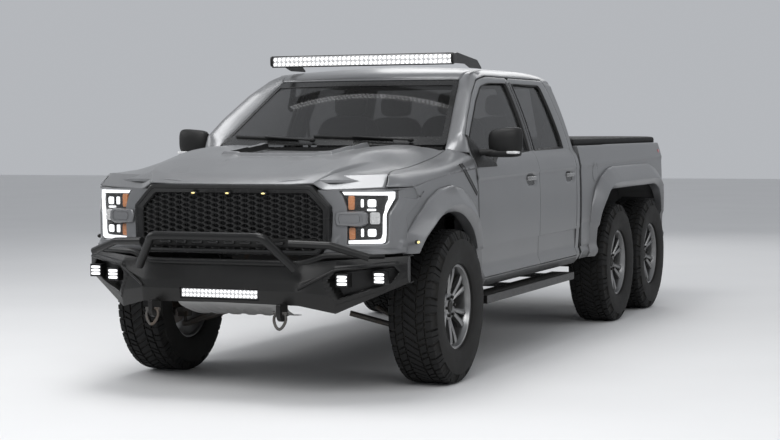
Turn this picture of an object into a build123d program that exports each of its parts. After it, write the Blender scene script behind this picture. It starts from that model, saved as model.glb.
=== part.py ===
"""Six-wheeled crew-cab pickup truck, in millimetres.

+Z is up, the nose points to -Y and the driver's (left) side is +X. The origin is on the ground, under
the middle of the truck's box. Lengths along the truck are written as distances behind the front axle.
"""
from build123d import *
import os

os.makedirs("parts", exist_ok=True)

# ---------------------------------------------------------------- driving dimensions
FRONT_AXLE = -2110.0
WHEELBASE = 3750.0
TANDEM = 1060.0
AXLE_Z = 470.0
TYRE_R = 470.0
TYRE_W = 318.0
WHEEL_X = 921.0
RIM_R = 258.0
KINGPIN_X = 830.0
LOWER_BALL_Z = 300.0
UPPER_BALL_Z = 642.0

SKIN_X = 1016.0
SILL_Z = 530.0
DOOR_Z = 598.0
ROOF_Z = 2000.0
BELT_Z = 1390.0
GAP = 7.0
HINGE_GAP = 8.0
DOOR_LOWER = 108.0
DOOR_UPPER = 46.0
BAY_LOWER = 115.0
BAY_UPPER = 53.0
CAB_LOWER = 172.0
CAB_UPPER = 100.0

DOOR_FRONT = 515.0
DOOR_SPLIT = 1800.0
DOOR_REAR = 2715.0
CAB_REAR = 2800.0
BOX_FRONT = 2850.0
BOX_REAR = 5400.0
RAIL_Z = 1410.0
BED_Z = 870.0
FENDER_FRONT = -700.0
NOSE = -960.0
ARCH_R = 540.0

FRAME_X = 440.0
FRAME_W = 80.0
FRAME_TOP = 700.0
FRAME_H = 140.0

GLASS_T = 5.0
GLASS_RUN = 780.0
GLASS_RISE = 458.0


def at(distance):
    """Y of a point this far behind the front axle."""
    return FRONT_AXLE + distance


def points_at(points):
    """Side-view points, given as (distance behind the front axle, height), in the truck's frame."""
    return [(at(y), z) for y, z in points]


def closed_face(points):
    """Face inside a closed polyline, drawn on the sketch being built."""
    with BuildLine() as outline:
        Polyline(*points, close=True)
    make_face(outline.edges())


def block(x, y, z):
    """Box between the low and high values of each pair, added to the part being built."""
    place = Location(((x[0] + x[1]) / 2, (y[0] + y[1]) / 2, (z[0] + z[1]) / 2))
    with Locations(place):
        Box(x[1] - x[0], y[1] - y[0], z[1] - z[0])


def side_prism(points, x_low, x_high, mode=Mode.ADD):
    """Side-view outline carried across the truck from x_low to x_high."""
    with BuildSketch(Plane.YZ.offset(x_low)) as profile:
        closed_face(points)
    extrude(profile.sketch, amount=x_high - x_low, mode=mode)


def front_prism(points, y_low, y_high, mode=Mode.ADD):
    """Front-view outline carried along the truck from y_low to y_high."""
    with BuildSketch(Plane.XZ.offset(-y_high)) as profile:
        closed_face(points)
    extrude(profile.sketch, amount=y_high - y_low, mode=mode)


def tube(path_points, bend, radius):
    """Round bar along straight runs joined by arcs of one bend radius."""
    with BuildLine() as route:
        if len(path_points) > 2:
            FilletPolyline(*path_points, radius=bend)
        else:
            Line(*path_points)
    start = route.line @ 0
    with BuildSketch(Plane(origin=start, z_dir=route.line % 0)) as ring:
        Circle(radius)
    sweep(ring.sketch, path=route.line)


# ---------------------------------------------------------------- shared outlines
def cab_section(lower, upper):
    """Cross-section of the cab moved inwards: lower below the belt, upper above it and at the roof."""
    side = SKIN_X - lower
    top = ROOF_Z - upper
    with BuildLine() as outline:
        Line((0, SILL_Z), (side - 50, SILL_Z))
        Line((side - 50, SILL_Z), (side - 24, SILL_Z + 32))
        ThreePointArc((side - 24, SILL_Z + 32), (side, 950), (side - 8, 1250))
        ThreePointArc((side - 8, 1250), (side - 18, 1318), (958 - lower, BELT_Z))
        if lower != upper:
            Line((958 - lower, BELT_Z), (958 - upper, BELT_Z))
        ThreePointArc((958 - upper, BELT_Z), (880 - upper, 1633), (779 - upper, 1872))
        ThreePointArc((779 - upper, 1872), (744 - upper, 1928 - upper / 2), (668 - upper, top - 35))
        ThreePointArc((668 - upper, top - 35), (340, top - 9), (0, top))
        mirror(about=Plane.YZ)
    make_face(outline.edges())


CAB_PROFILE = points_at([
    (-300, 500), (-300, 1474), (1030, 1902), (1300, 1944), (1700, 1966), (2100, 1972), (2450, 1961),
    (2700, 1936), (2790, 1902), (CAB_REAR, 1840), (CAB_REAR, 500),
])

FRONT_DOOR = points_at([
    (DOOR_FRONT, DOOR_Z), (DOOR_SPLIT - GAP / 2, DOOR_Z), (DOOR_SPLIT - GAP / 2, 1905), (1350, 1905),
    (1140, 1878), (930, 1783), (660, 1618), (DOOR_FRONT, 1505),
])
REAR_DOOR = points_at([
    (DOOR_SPLIT + GAP / 2, DOOR_Z), (DOOR_REAR, DOOR_Z), (DOOR_REAR, 1440), (2660, 1850), (2610, 1905),
    (DOOR_SPLIT + GAP / 2, 1905),
])
FRONT_BAY = points_at([
    (DOOR_FRONT - HINGE_GAP, DOOR_Z - GAP), (DOOR_SPLIT + GAP, DOOR_Z - GAP), (DOOR_SPLIT + GAP, 1913),
    (1348, 1913), (1136, 1886), (926, 1791), (656, 1626), (DOOR_FRONT - HINGE_GAP, 1513),
])
REAR_BAY = points_at([
    (DOOR_SPLIT - GAP, DOOR_Z - GAP), (DOOR_REAR + GAP, DOOR_Z - GAP), (DOOR_REAR + GAP, 1441),
    (2667, 1853), (2613, 1913), (DOOR_SPLIT - GAP, 1913),
])
FRONT_WAY = points_at([
    (DOOR_FRONT + 65, 665), (DOOR_SPLIT - 70, 665), (DOOR_SPLIT - 60, 1850), (1350, 1845), (1170, 1820),
    (950, 1722), (700, 1570), (DOOR_FRONT + 65, 1470),
])
REAR_WAY = points_at([
    (DOOR_SPLIT + 70, 665), (DOOR_REAR - 60, 665), (DOOR_REAR - 60, 1430), (2600, 1800), (2560, 1850),
    (DOOR_SPLIT + 60, 1850),
])
FRONT_WINDOW = points_at([
    (568, 1312), (900, 1326), (1010, 1372), (1738, 1394), (1732, 1868), (1340, 1862), (1165, 1836),
    (940, 1730), (690, 1576), (568, 1492),
])
REAR_WINDOW = points_at([
    (1856, 1396), (2560, 1404), (2560, 1470), (2508, 1846), (2480, 1866), (1860, 1868),
])


def front_arch(grow):
    """Front wheel opening in side view, its edge moved outwards by grow."""
    with BuildLine() as outline:
        start = (at(495 + grow), SILL_Z - 60)
        knee = (at(492 + grow), 600)
        crown = (at(-110), 1052 + grow)
        chin = (at(-600 - grow), 838)
        foot = (at(-672 - grow), 640)
        Line(start, knee)
        ThreePointArc(knee, (at(352 + grow * 0.7), 868 + grow * 0.7), crown)
        ThreePointArc(crown, (at(-395 - grow * 0.5), 992 + grow * 0.8), chin)
        Line(chin, foot)
        Line(foot, (foot[0], SILL_Z - 60))
        Line((foot[0], SILL_Z - 60), start)
    make_face(outline.edges())


def rear_arch(grow):
    """Opening over the two rear wheels in side view, its edge moved outwards by grow."""
    low = SILL_Z - 60
    with BuildLine() as outline:
        front_foot = (at(3172 - grow), low)
        front_knee = (at(3190 - grow), 690)
        front_top = (at(3600), 1068 + grow)
        rear_top = (at(4940), 1068 + grow)
        rear_knee = (at(5340 + grow), 700)
        rear_foot = (at(5350 + grow), low)
        Line(front_foot, front_knee)
        ThreePointArc(front_knee, (at(3330 - grow * 0.7), 958 + grow * 0.7), front_top)
        Line(front_top, rear_top)
        ThreePointArc(rear_top, (at(5222 + grow * 0.7), 950 + grow * 0.7), rear_knee)
        Line(rear_knee, rear_foot)
        Line(rear_foot, front_foot)
    make_face(outline.edges())


def plan_nose(inset):
    """Front outline of the body in plan, moved back by inset; drawn from side to side."""
    with BuildLine() as outline:
        left = ((SKIN_X - 26 - inset), at(-700))
        corner = (936 - inset * 0.8, at(-846) + inset * 0.8)
        middle = (664 - inset * 0.3, at(-922) + inset)
        ThreePointArc(left, (978 - inset, at(-776) + inset * 0.4), corner)
        ThreePointArc(corner, (812 - inset * 0.5, at(-893) + inset), middle)
        ThreePointArc(middle, (340, at(-950) + inset), (0, at(NOSE) + inset))
        Line(left, (left[0], at(-600)))
        Line((left[0], at(-600)), (0, at(-600)))
        mirror(about=Plane.YZ)
    make_face(outline.edges())


# ---------------------------------------------------------------- ladder frame
RAIL_INSIDE = FRAME_X - FRAME_W / 2
RAIL_OUTSIDE = FRAME_X + FRAME_W / 2

with BuildPart() as frame_rails:
    for side in (-1, 1):
        rail_x = sorted((side * RAIL_INSIDE, side * RAIL_OUTSIDE))
        block(rail_x, (at(-960), at(5360)), (FRAME_TOP - FRAME_H, FRAME_TOP))
frame_rails.part.label = "frame_rails"
export_step(frame_rails.part, "parts/frame_rails.step")

with BuildPart() as crossmembers:
    for distance in (-930, -320, 260, 1000, 2000, 2900, 3480, 4300, 5320):
        member_y = (at(distance - 35), at(distance + 35))
        block((-RAIL_INSIDE, RAIL_INSIDE), member_y, (FRAME_TOP - 110, FRAME_TOP - 30))
    for distance in (1150, 2000):
        for side in (-1, 1):
            outrigger_x = sorted((side * RAIL_OUTSIDE, side * 815))
            block(outrigger_x, (at(distance - 40), at(distance + 40)), (600, 660))
crossmembers.part.label = "crossmembers"
export_step(crossmembers.part, "parts/crossmembers.step")

# ---------------------------------------------------------------- cab
CAB_FOOT_Z = 1440.0
GLASS_BASE = 1300.0
GLASS_BACK = -GLASS_RUN * (1446 - GLASS_BASE) / GLASS_RISE
WINDSHIELD_FACE = [(-800, 1470), (800, 1470), (655, 1880), (-655, 1880)]
REAR_GLASS_FACE = [(-700, 1470), (700, 1470), (630, 1850), (-630, 1850)]


def windshield_arc(setback):
    """Bow of the windshield in plan at the height GLASS_BASE, moved back by setback."""
    edge = at(660 + GLASS_BACK + setback)
    ThreePointArc((-1100, edge), (0, at(262 + GLASS_BACK + setback)), (1100, edge))
    return edge


with BuildPart() as behind_windshield:
    with BuildSketch(Plane.XY.offset(GLASS_BASE)):
        with BuildLine():
            edge = windshield_arc(0)
            Polyline((1100, edge), (1100, at(5000)), (-1100, at(5000)), (-1100, edge))
        make_face()
    extrude(amount=1700, dir=(0, GLASS_RUN, GLASS_RISE))
    block((-1100, 1100), (at(-1500), at(DOOR_FRONT - HINGE_GAP)), (GLASS_BASE, CAB_FOOT_Z))
    side_prism(points_at([(-1500, 1200), (-1500, CAB_FOOT_Z), (DOOR_FRONT - HINGE_GAP, CAB_FOOT_Z),
                          (DOOR_FRONT - HINGE_GAP, 1200)]), -1100, 1100, Mode.SUBTRACT)
    block((-1100, 1100), (at(DOOR_FRONT - HINGE_GAP), at(5000)), (400, CAB_FOOT_Z))

with BuildPart() as door_bays:
    side_prism(FRONT_BAY, -1100, 1100)
    side_prism(REAR_BAY, -1100, 1100)
    with BuildSketch(Plane.XZ.offset(-at(3000))):
        cab_section(BAY_LOWER, BAY_UPPER)
    extrude(amount=3000, mode=Mode.SUBTRACT)

with BuildPart() as cab_room:
    with BuildSketch(Plane.XZ.offset(-at(CAB_REAR - 60))):
        cab_section(CAB_LOWER, CAB_UPPER)
    extrude(amount=3000)

with BuildPart() as wheel_sweep:
    with BuildSketch(Plane.YZ.offset(-1100)):
        with Locations((at(0), AXLE_Z)):
            Circle(ARCH_R)
    extrude(amount=2200)

with BuildPart() as cab_shell:
    with BuildSketch(Plane.XZ.offset(-at(CAB_REAR))):
        cab_section(0, 0)
    extrude(amount=3000)
    side_prism(CAB_PROFILE, -1100, 1100, Mode.INTERSECT)
    add(cab_room.part, mode=Mode.SUBTRACT)
    add(behind_windshield.part, mode=Mode.INTERSECT)
    add(wheel_sweep.part, mode=Mode.SUBTRACT)
    add(door_bays.part, mode=Mode.SUBTRACT)
    side_prism(FRONT_WAY, -1100, 1100, Mode.SUBTRACT)
    side_prism(REAR_WAY, -1100, 1100, Mode.SUBTRACT)
    front_prism(WINDSHIELD_FACE, at(0), at(1600), Mode.SUBTRACT)
    front_prism(REAR_GLASS_FACE, at(2500), at(3000), Mode.SUBTRACT)
    with BuildPart(mode=Mode.PRIVATE) as frame_way:
        block((-820, 820), (at(2600), at(2900)), (400, 735))
    add(frame_way.part, mode=Mode.SUBTRACT)
cab_shell.part.label = "cab_shell"
export_step(cab_shell.part, "parts/cab_shell.step")

with BuildPart() as windshield:
    with BuildSketch(Plane.XY.offset(GLASS_BASE)):
        with BuildLine():
            front_edge = windshield_arc(0)
            rear_edge = windshield_arc(2 * GLASS_T)
            Line((1100, front_edge), (1100, rear_edge))
            Line((-1100, front_edge), (-1100, rear_edge))
        make_face()
    extrude(amount=1700, dir=(0, GLASS_RUN, GLASS_RISE))
    front_prism(WINDSHIELD_FACE, at(0), at(1600), Mode.INTERSECT)
windshield.part.label = "windshield"
export_step(windshield.part, "parts/windshield.step")

with BuildPart() as rear_window:
    front_prism(REAR_GLASS_FACE, at(2768), at(2768 + GLASS_T))
rear_window.part.label = "rear_window"
export_step(rear_window.part, "parts/rear_window.step")

with BuildPart() as cab_floor:
    block((-800, 800), (at(440), at(CAB_REAR)), (FRAME_TOP, 735))
    block((-800, 800), (at(440), at(470)), (735, 1396))
    block((-170, 170), (at(470), at(2300)), (735, 850))
    block((-600, 600), (at(2280), at(CAB_REAR - 60)), (735, 900))
    with BuildPart(mode=Mode.PRIVATE) as toe_cut:
        block((540, 1100), (at(-900), at(900)), (-200, 1200))
        block((-1100, -540), (at(-900), at(900)), (-200, 1200))
        add(wheel_sweep.part, mode=Mode.INTERSECT)
    add(toe_cut.part, mode=Mode.SUBTRACT)
cab_floor.part.label = "cab_floor"
export_step(cab_floor.part, "parts/cab_floor.step")

with BuildPart() as cowl:
    with BuildSketch(Plane.XY.offset(1402)):
        with BuildLine():
            ThreePointArc((-800, at(406)), (0, at(190)), (800, at(406)))
            Line((800, at(406)), (800, at(440)))
            ThreePointArc((800, at(440)), (0, at(240)), (-800, at(440)))
            Line((-800, at(440)), (-800, at(406)))
        make_face()
    extrude(amount=36)
cowl.part.label = "cowl"
export_step(cowl.part, "parts/cowl.step")

# ---------------------------------------------------------------- hood and fenders
HOOD_T = 24
HOOD_STATIONS = [
    (-955, 1252, 1244, 960, 1206), (-830, 1300, 1306, 960, 1222), (-500, 1372, 1386, 870, 1286),
    (0, 1408, 1434, 850, 1346), (480, 1440, 1452, 834, 1420),
]
FENDER_REAR = DOOR_FRONT - HINGE_GAP
FENDER_STATIONS = [
    (FENDER_FRONT, 985, 1240), (-500, 1006, 1284), (0, SKIN_X, 1346), (FENDER_REAR, SKIN_X, 1410),
]


def hood_plan(grow):
    """Outline of the hood in plan, its edges moved outwards by grow."""
    with BuildLine() as outline:
        ThreePointArc((-826 - grow, at(392) + grow), (0, at(178) + grow), (826 + grow, at(392) + grow))
        for side in (-1, 1):
            Line((side * (826 + grow), at(392) + grow), (side * (840 + grow), at(-420)))
            ThreePointArc((side * (840 + grow), at(-420)), (side * (868 + grow), at(-630)),
                          (side * (932 + grow), at(-800)))
            ThreePointArc((side * (932 + grow), at(-800)), (side * 480, at(-928) - grow),
                          (0, at(-948) - grow))
    make_face(outline.edges())


with BuildPart() as hood:
    for distance, middle_z, bulge_z, seam_x, seam_z in HOOD_STATIONS:
        shoulder_z = (bulge_z + seam_z) / 2 + 14
        with BuildSketch(Plane.XZ.offset(-at(distance))):
            with BuildLine():
                Line((0, middle_z), (300, middle_z + 4))
                ThreePointArc((300, middle_z + 4), (450, (middle_z + bulge_z) / 2 + 12), (600, bulge_z))
                ThreePointArc((600, bulge_z), (740, shoulder_z), (seam_x, seam_z))
                Line((seam_x, seam_z), (seam_x, seam_z - HOOD_T))
                ThreePointArc((seam_x, seam_z - HOOD_T), (738, shoulder_z - HOOD_T), (598, bulge_z - HOOD_T))
                ThreePointArc((598, bulge_z - HOOD_T), (450, (middle_z + bulge_z) / 2 + 12 - HOOD_T),
                              (300, middle_z + 4 - HOOD_T))
                Line((300, middle_z + 4 - HOOD_T), (0, middle_z - HOOD_T))
                mirror(about=Plane.YZ)
            make_face()
    loft(ruled=True)
    with BuildSketch(Plane.XY.offset(1100)):
        hood_plan(0)
    extrude(amount=500, mode=Mode.INTERSECT)
hood.part.label = "hood"
export_step(hood.part, "parts/hood.step")

with BuildPart() as front_fenders:
    for distance, skin_x, top_z in FENDER_STATIONS:
        with BuildSketch(Plane.XZ.offset(-at(distance))):
            closed_face([(skin_x - 6, 530), (skin_x, 950), (skin_x - 8, top_z - 100), (960, top_z - 34),
                         (800, top_z + 10), (800, top_z - 6), (952, top_z - 50), (skin_x - 22, top_z - 112),
                         (skin_x - 14, 950), (skin_x - 20, 530)])
    loft(ruled=True)
    with BuildSketch(Plane.YZ.offset(700)):
        front_arch(0)
    extrude(amount=500, mode=Mode.SUBTRACT)
    with BuildPart(mode=Mode.PRIVATE) as bumper_room:
        block((700, 1100), (at(-900), at(-560)), (400, 835))
    add(bumper_room.part, mode=Mode.SUBTRACT)
    with BuildSketch(Plane.XY.offset(1000)):
        hood_plan(GAP)
    extrude(amount=600, mode=Mode.SUBTRACT)
    mirror(about=Plane.YZ)
front_fenders.part.label = "front_fenders"
export_step(front_fenders.part, "parts/front_fenders.step")

# ---------------------------------------------------------------- front panel, grille and headlights
PANEL_LOW = 843
PANEL_TOP = 1200
GRILLE_RING = [(-490, 1196), (490, 1196), (590, 1107), (590, 930), (520, 846), (-520, 846), (-590, 930),
               (-590, 1107)]
GRILLE_MESH = [(-455, 1176), (455, 1176), (550, 1092), (550, 944), (498, 880), (-498, 880), (-550, 944),
               (-550, 1092)]
LAMP_FACE = [(664, 1192), (979, 1192), (979, 1154), (944, 1071), (945, 923), (718, 909), (690, 985),
             (800, 1000), (800, 1080), (690, 1095)]

with BuildPart() as front_panel:
    with BuildSketch(Plane.XY.offset(PANEL_LOW)):
        plan_nose(0)
    extrude(amount=PANEL_TOP - PANEL_LOW)
    with BuildSketch(Plane.XY.offset(PANEL_LOW - 10)):
        plan_nose(60)
        with Locations((0, at(-603))):
            Rectangle(2400, 200)
    extrude(amount=PANEL_TOP - PANEL_LOW + 20, mode=Mode.SUBTRACT)
    front_prism(GRILLE_RING, at(-1100), at(-700), Mode.SUBTRACT)
    front_prism(LAMP_FACE, at(-1100), at(-700), Mode.SUBTRACT)
    front_prism([(-x, z) for x, z in LAMP_FACE], at(-1100), at(-700), Mode.SUBTRACT)
front_panel.part.label = "front_panel"
export_step(front_panel.part, "parts/front_panel.step")

with BuildPart() as headlights:
    with BuildSketch(Plane.XY.offset(PANEL_LOW)):
        plan_nose(4)
    extrude(amount=PANEL_TOP - PANEL_LOW)
    with BuildSketch(Plane.XY.offset(PANEL_LOW - 10)):
        plan_nose(54)
        with Locations((0, at(-603))):
            Rectangle(2400, 200)
    extrude(amount=PANEL_TOP - PANEL_LOW + 20, mode=Mode.SUBTRACT)
    front_prism(LAMP_FACE, at(-1100), at(-701), Mode.INTERSECT)
    mirror(about=Plane.YZ)
headlights.part.label = "headlights"
export_step(headlights.part, "parts/headlights.step")

with BuildPart() as grille:
    front_prism(GRILLE_RING, at(-985), at(-900))
    front_prism(GRILLE_MESH, at(-1000), at(-950), Mode.SUBTRACT)
    front_prism(GRILLE_MESH, at(-935), at(-800), Mode.SUBTRACT)
grille.part.label = "grille"
export_step(grille.part, "parts/grille.step")

# ---------------------------------------------------------------- bumpers, bull bar and lamps
BUMPER_STATIONS = [
    (0, [(-1050, 800), (-1104, 686), (-1120, 640), (-1104, 567), (-985, 567), (-985, 800)]),
    (500, [(-1040, 800), (-1096, 686), (-1110, 640), (-1096, 560), (-975, 560), (-975, 800)]),
    (690, [(-985, 815), (-1030, 740), (-1030, 620), (-1010, 513), (-900, 530), (-900, 815)]),
    (1042, [(-775, 832), (-790, 780), (-790, 730), (-770, 680), (-690, 680), (-690, 832)]),
]

LAMP_CUBES = ((742, -1010, 705), (925, -905, 715))
CUBE = 38
POCKET = CUBE + 3

with BuildPart() as lamp_pockets:
    block((-252, 252), (at(-1200), at(-1070)), (585, 648))
    for side in (-1, 1):
        for x, y, z in LAMP_CUBES:
            block((side * x - POCKET, side * x + POCKET), (at(y - 100), at(y + 30)), (z - POCKET, z + POCKET))

with BuildPart() as front_bumper:
    for distance, profile in BUMPER_STATIONS:
        with BuildSketch(Plane.YZ.offset(distance)):
            closed_face(points_at(profile))
    loft(ruled=True)
    mirror(about=Plane.YZ)
    add(lamp_pockets.part, mode=Mode.SUBTRACT)
    for side in (-1, 1):
        block(sorted((side * 398, side * 424)), (at(-1180), at(-1000)), (470, 575))
    with BuildPart(mode=Mode.PRIVATE) as shackle_holes:
        with BuildSketch(Plane.YZ.offset(-600)):
            with Locations((at(-1146), 520)):
                Circle(13)
        extrude(amount=1200)
    add(shackle_holes.part, mode=Mode.SUBTRACT)
front_bumper.part.label = "front_bumper"
export_step(front_bumper.part, "parts/front_bumper.step")

with BuildPart() as bull_bar:
    tube([(500, at(-1140), 770), (352, at(-1255), 955), (-352, at(-1255), 955), (-500, at(-1140), 770)],
         60, 25)
    tube([(893, at(-1000), 836), (690, at(-1090), 905), (470, at(-1160), 915)], 60, 22)
    tube([(-893, at(-1000), 836), (-690, at(-1090), 905), (-470, at(-1160), 915)], 60, 22)
bull_bar.part.label = "bull_bar"
export_step(bull_bar.part, "parts/bull_bar.step")

with BuildPart() as led_lights:
    block((-249, 249), (at(-1100), at(-1070)), (588, 645))
    for side in (-1, 1):
        for x, y, z in LAMP_CUBES:
            block((side * x - CUBE, side * x + CUBE), (at(y - 30), at(y + 30)), (z - CUBE, z + CUBE))
    block((-668, 668), (at(956), at(1042)), (1986, 2060))
led_lights.part.label = "led_lights"
export_step(led_lights.part, "parts/led_lights.step")

with BuildPart() as light_brackets:
    plate = points_at([(975, 1990), (975, 2050), (1043, 2062), (1447, 2024), (1530, 1975), (1530, 1966),
                       (1300, 1966), (1200, 1990)])
    side_prism(plate, 669, 675)
    mirror(about=Plane.YZ)
light_brackets.part.label = "light_brackets"
export_step(light_brackets.part, "parts/light_brackets.step")

# ---------------------------------------------------------------- doors, their glass and mirrors
DOORS = (("front", FRONT_DOOR, FRONT_WINDOW), ("rear", REAR_DOOR, REAR_WINDOW))


def cab_skin(outer, inner_lower, inner_upper):
    """Band of the cab's side between two insets of its cross-section."""
    with BuildSketch(Plane.XZ.offset(-at(3000))) as outside:
        cab_section(outer, outer)
    with BuildSketch(Plane.XZ.offset(-at(3000))) as inside:
        cab_section(inner_lower, inner_upper)
    extrude(outside.sketch, amount=3000)
    extrude(inside.sketch, amount=3000, mode=Mode.SUBTRACT)


for side, side_name in ((1, "left"), (-1, "right")):
    low_x, high_x = sorted((side * 400, side * 1100))
    for row_name, door_outline, window_outline in DOORS:
        with BuildPart() as door:
            cab_skin(0, DOOR_LOWER, DOOR_UPPER)
            side_prism(door_outline, low_x, high_x, Mode.INTERSECT)
            side_prism(window_outline, low_x, high_x, Mode.SUBTRACT)
        door.part.label = f"door_{row_name}_{side_name}"
        export_step(door.part, f"parts/door_{row_name}_{side_name}.step")

        with BuildPart() as door_glass:
            cab_skin(18, 18 + GLASS_T, 18 + GLASS_T)
            side_prism(window_outline, low_x, high_x, Mode.INTERSECT)
        door_glass.part.label = f"glass_{row_name}_{side_name}"
        export_step(door_glass.part, f"parts/glass_{row_name}_{side_name}.step")

    with BuildPart() as mirror_housing:
        block(sorted((side * 1040, side * 1245)), (at(640), at(745)), (1400, 1560))
        fillet(mirror_housing.edges(), 24)
        block(sorted((side * 965, side * 1060)), (at(630), at(700)), (1376, 1430))
    mirror_housing.part.label = f"mirror_{side_name}"
    export_step(mirror_housing.part, f"parts/mirror_{side_name}.step")

# ---------------------------------------------------------------- cargo box
BOX_IN_X = 930.0
BED_T = 40.0
WELL_X = 660.0
WELL_T = 20.0
TAILGATE_X = 780.0
TAILGATE_Y = (5316.0, 5386.0)
TAILGATE_Z = (830.0, 1400.0)
LID_Z = (RAIL_Z + 5, RAIL_Z + 66)

with BuildPart() as well_outside:
    with BuildSketch(Plane.YZ.offset(WELL_X)):
        rear_arch(WELL_T + 20)
    extrude(amount=400)
    mirror(about=Plane.YZ)

with BuildPart() as well_inside:
    with BuildSketch(Plane.YZ.offset(WELL_X + WELL_T)):
        rear_arch(20)
    extrude(amount=400)
    mirror(about=Plane.YZ)

with BuildPart() as box_room:
    block((-BOX_IN_X, BOX_IN_X), (at(BOX_FRONT + 60), at(BOX_REAR - 60)), (BED_Z, RAIL_Z + 50))
    add(well_outside.part, mode=Mode.SUBTRACT)

with BuildPart() as under_box:
    block((-BOX_IN_X, BOX_IN_X), (at(BOX_FRONT - 10), at(BOX_REAR + 10)), (500, BED_Z - BED_T))
    add(well_outside.part, mode=Mode.SUBTRACT)

with BuildPart() as cargo_box:
    with BuildSketch(Plane.XZ.offset(-at(BOX_REAR))):
        closed_face([(-965, 600), (965, 600), (SKIN_X - 4, 660), (SKIN_X, 950), (SKIN_X - 8, 1260),
                     (988, 1330), (980, RAIL_Z), (-980, RAIL_Z), (-988, 1330), (8 - SKIN_X, 1260),
                     (-SKIN_X, 950), (4 - SKIN_X, 660)])
    extrude(amount=BOX_REAR - BOX_FRONT)
    add(box_room.part, mode=Mode.SUBTRACT)
    add(under_box.part, mode=Mode.SUBTRACT)
    add(well_inside.part, mode=Mode.SUBTRACT)
    with BuildPart(mode=Mode.PRIVATE) as tail_opening:
        block((-TAILGATE_X - GAP, TAILGATE_X + GAP), (at(5280), at(5500)), (TAILGATE_Z[0] - 40, RAIL_Z + 50))
        for side in (-1, 1):
            block(sorted((side * 850, side * 1100)), (at(5340), at(5500)), (960, 1360))
    add(tail_opening.part, mode=Mode.SUBTRACT)
cargo_box.part.label = "cargo_box"
export_step(cargo_box.part, "parts/cargo_box.step")

with BuildPart() as tail_lights:
    block((850, 1000), (at(5340), at(5404)), (960, 1360))
    mirror(about=Plane.YZ)
tail_lights.part.label = "tail_lights"
export_step(tail_lights.part, "parts/tail_lights.step")

with BuildPart() as tailgate:
    block((-TAILGATE_X, TAILGATE_X), (at(TAILGATE_Y[0]), at(TAILGATE_Y[1])), TAILGATE_Z)
tailgate.part.label = "tailgate"
export_step(tailgate.part, "parts/tailgate.step")

with BuildPart() as tonneau_cover:
    block((-945, 945), (at(BOX_FRONT + 15), at(5385)), LID_Z)
tonneau_cover.part.label = "tonneau_cover"
export_step(tonneau_cover.part, "parts/tonneau_cover.step")

with BuildPart() as rear_bumper:
    block((-985, 985), (at(5410), at(5500)), (560, 740))
    for side in (-1, 1):
        block(sorted((side * (FRAME_X - 30), side * (FRAME_X + 30))), (at(5360), at(5410)), (600, 690))
    block((-40, 40), (at(5355), at(5500)), (480, 560))
    with BuildPart(mode=Mode.PRIVATE) as receiver_way:
        block((-25.5, 25.5), (at(5380), at(5600)), (494.5, 545.5))
    add(receiver_way.part, mode=Mode.SUBTRACT)
rear_bumper.part.label = "rear_bumper"
export_step(rear_bumper.part, "parts/rear_bumper.step")

# ---------------------------------------------------------------- fender flares
FLARE_X = 1096.0
FRONT_CREASE = [(FENDER_REAR, 500), (FENDER_REAR, 934), (417, 1040), (300, 1128), (160, 1188), (0, 1211),
                (-200, 1195), (-374, 1141), (-540, 1054), (-665, 963), (-714, 838), (-640, 838)]
REAR_CREASE = [(3060, 560), (3075, 800), (3110, 960), (3200, 1085), (3350, 1170), (3560, 1228), (3700, 1243),
               (4860, 1243), (5060, 1205), (5220, 1120), (5330, 1000), (5392, 860), (5398, 560)]

with BuildPart() as arch_holes:
    with BuildSketch(Plane.YZ.offset(500)):
        front_arch(0)
    extrude(amount=900)
    with BuildSketch(Plane.YZ.offset(500)):
        rear_arch(0)
    extrude(amount=900)

with BuildPart() as fender_flares:
    side_prism(points_at(FRONT_CREASE + [(-640, 500)]), SKIN_X, FLARE_X)
    side_prism(points_at(REAR_CREASE), SKIN_X, FLARE_X)
    add(arch_holes.part, mode=Mode.SUBTRACT)
    with BuildSketch(Plane.XY.offset(300)):
        closed_face([(900, at(-740)), (1040, at(-740)), (FLARE_X, at(-460)), (FLARE_X, at(300)),
                     (1060, at(FENDER_REAR)), (1036, at(3040)), (FLARE_X, at(3300)),
                     (FLARE_X, at(5150)), (1036, at(5410)), (900, at(5410))])
    extrude(amount=1200, mode=Mode.INTERSECT)
    mirror(about=Plane.YZ)
fender_flares.part.label = "fender_flares"
export_step(fender_flares.part, "parts/fender_flares.step")

# ---------------------------------------------------------------- wheel arch liners and running boards
with BuildPart() as liner_outside:
    with BuildSketch(Plane.YZ.offset(560)):
        front_arch(34)
    extrude(amount=955 - 560)

with BuildPart() as liner_inside:
    with BuildSketch(Plane.YZ.offset(500)):
        front_arch(28)
    extrude(amount=900)

with BuildPart() as wheel_liners:
    add(liner_outside.part)
    add(liner_inside.part, mode=Mode.SUBTRACT)
    with BuildPart(mode=Mode.PRIVATE) as liner_trim:
        block((500, 1100), (at(-900), at(900)), (400, 700))
        block((500, 1100), (at(200), at(900)), (400, 1500))
    add(liner_trim.part, mode=Mode.SUBTRACT)
    mirror(about=Plane.YZ)
wheel_liners.part.label = "wheel_liners"
export_step(wheel_liners.part, "parts/wheel_liners.step")

with BuildPart() as running_boards:
    block((880, 1050), (at(560), at(2520)), (434, 486))
    for distance in (760, 1500, 2320):
        block((480, 900), (at(distance - 30), at(distance + 30)), (460, 486))
        block((480, 520), (at(distance - 30), at(distance + 30)), (486, 640))
    mirror(about=Plane.YZ)
running_boards.part.label = "running_boards"
export_step(running_boards.part, "parts/running_boards.step")

# ---------------------------------------------------------------- wheels and knuckles
HUB_BORE_R = 36.0
SPINDLE_R = 35.0
HUB_FACE_X = 948.0
WHEELS = (("front", 0.0), ("middle", WHEELBASE), ("rear", WHEELBASE + TANDEM))
SPOKES = 6


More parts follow.
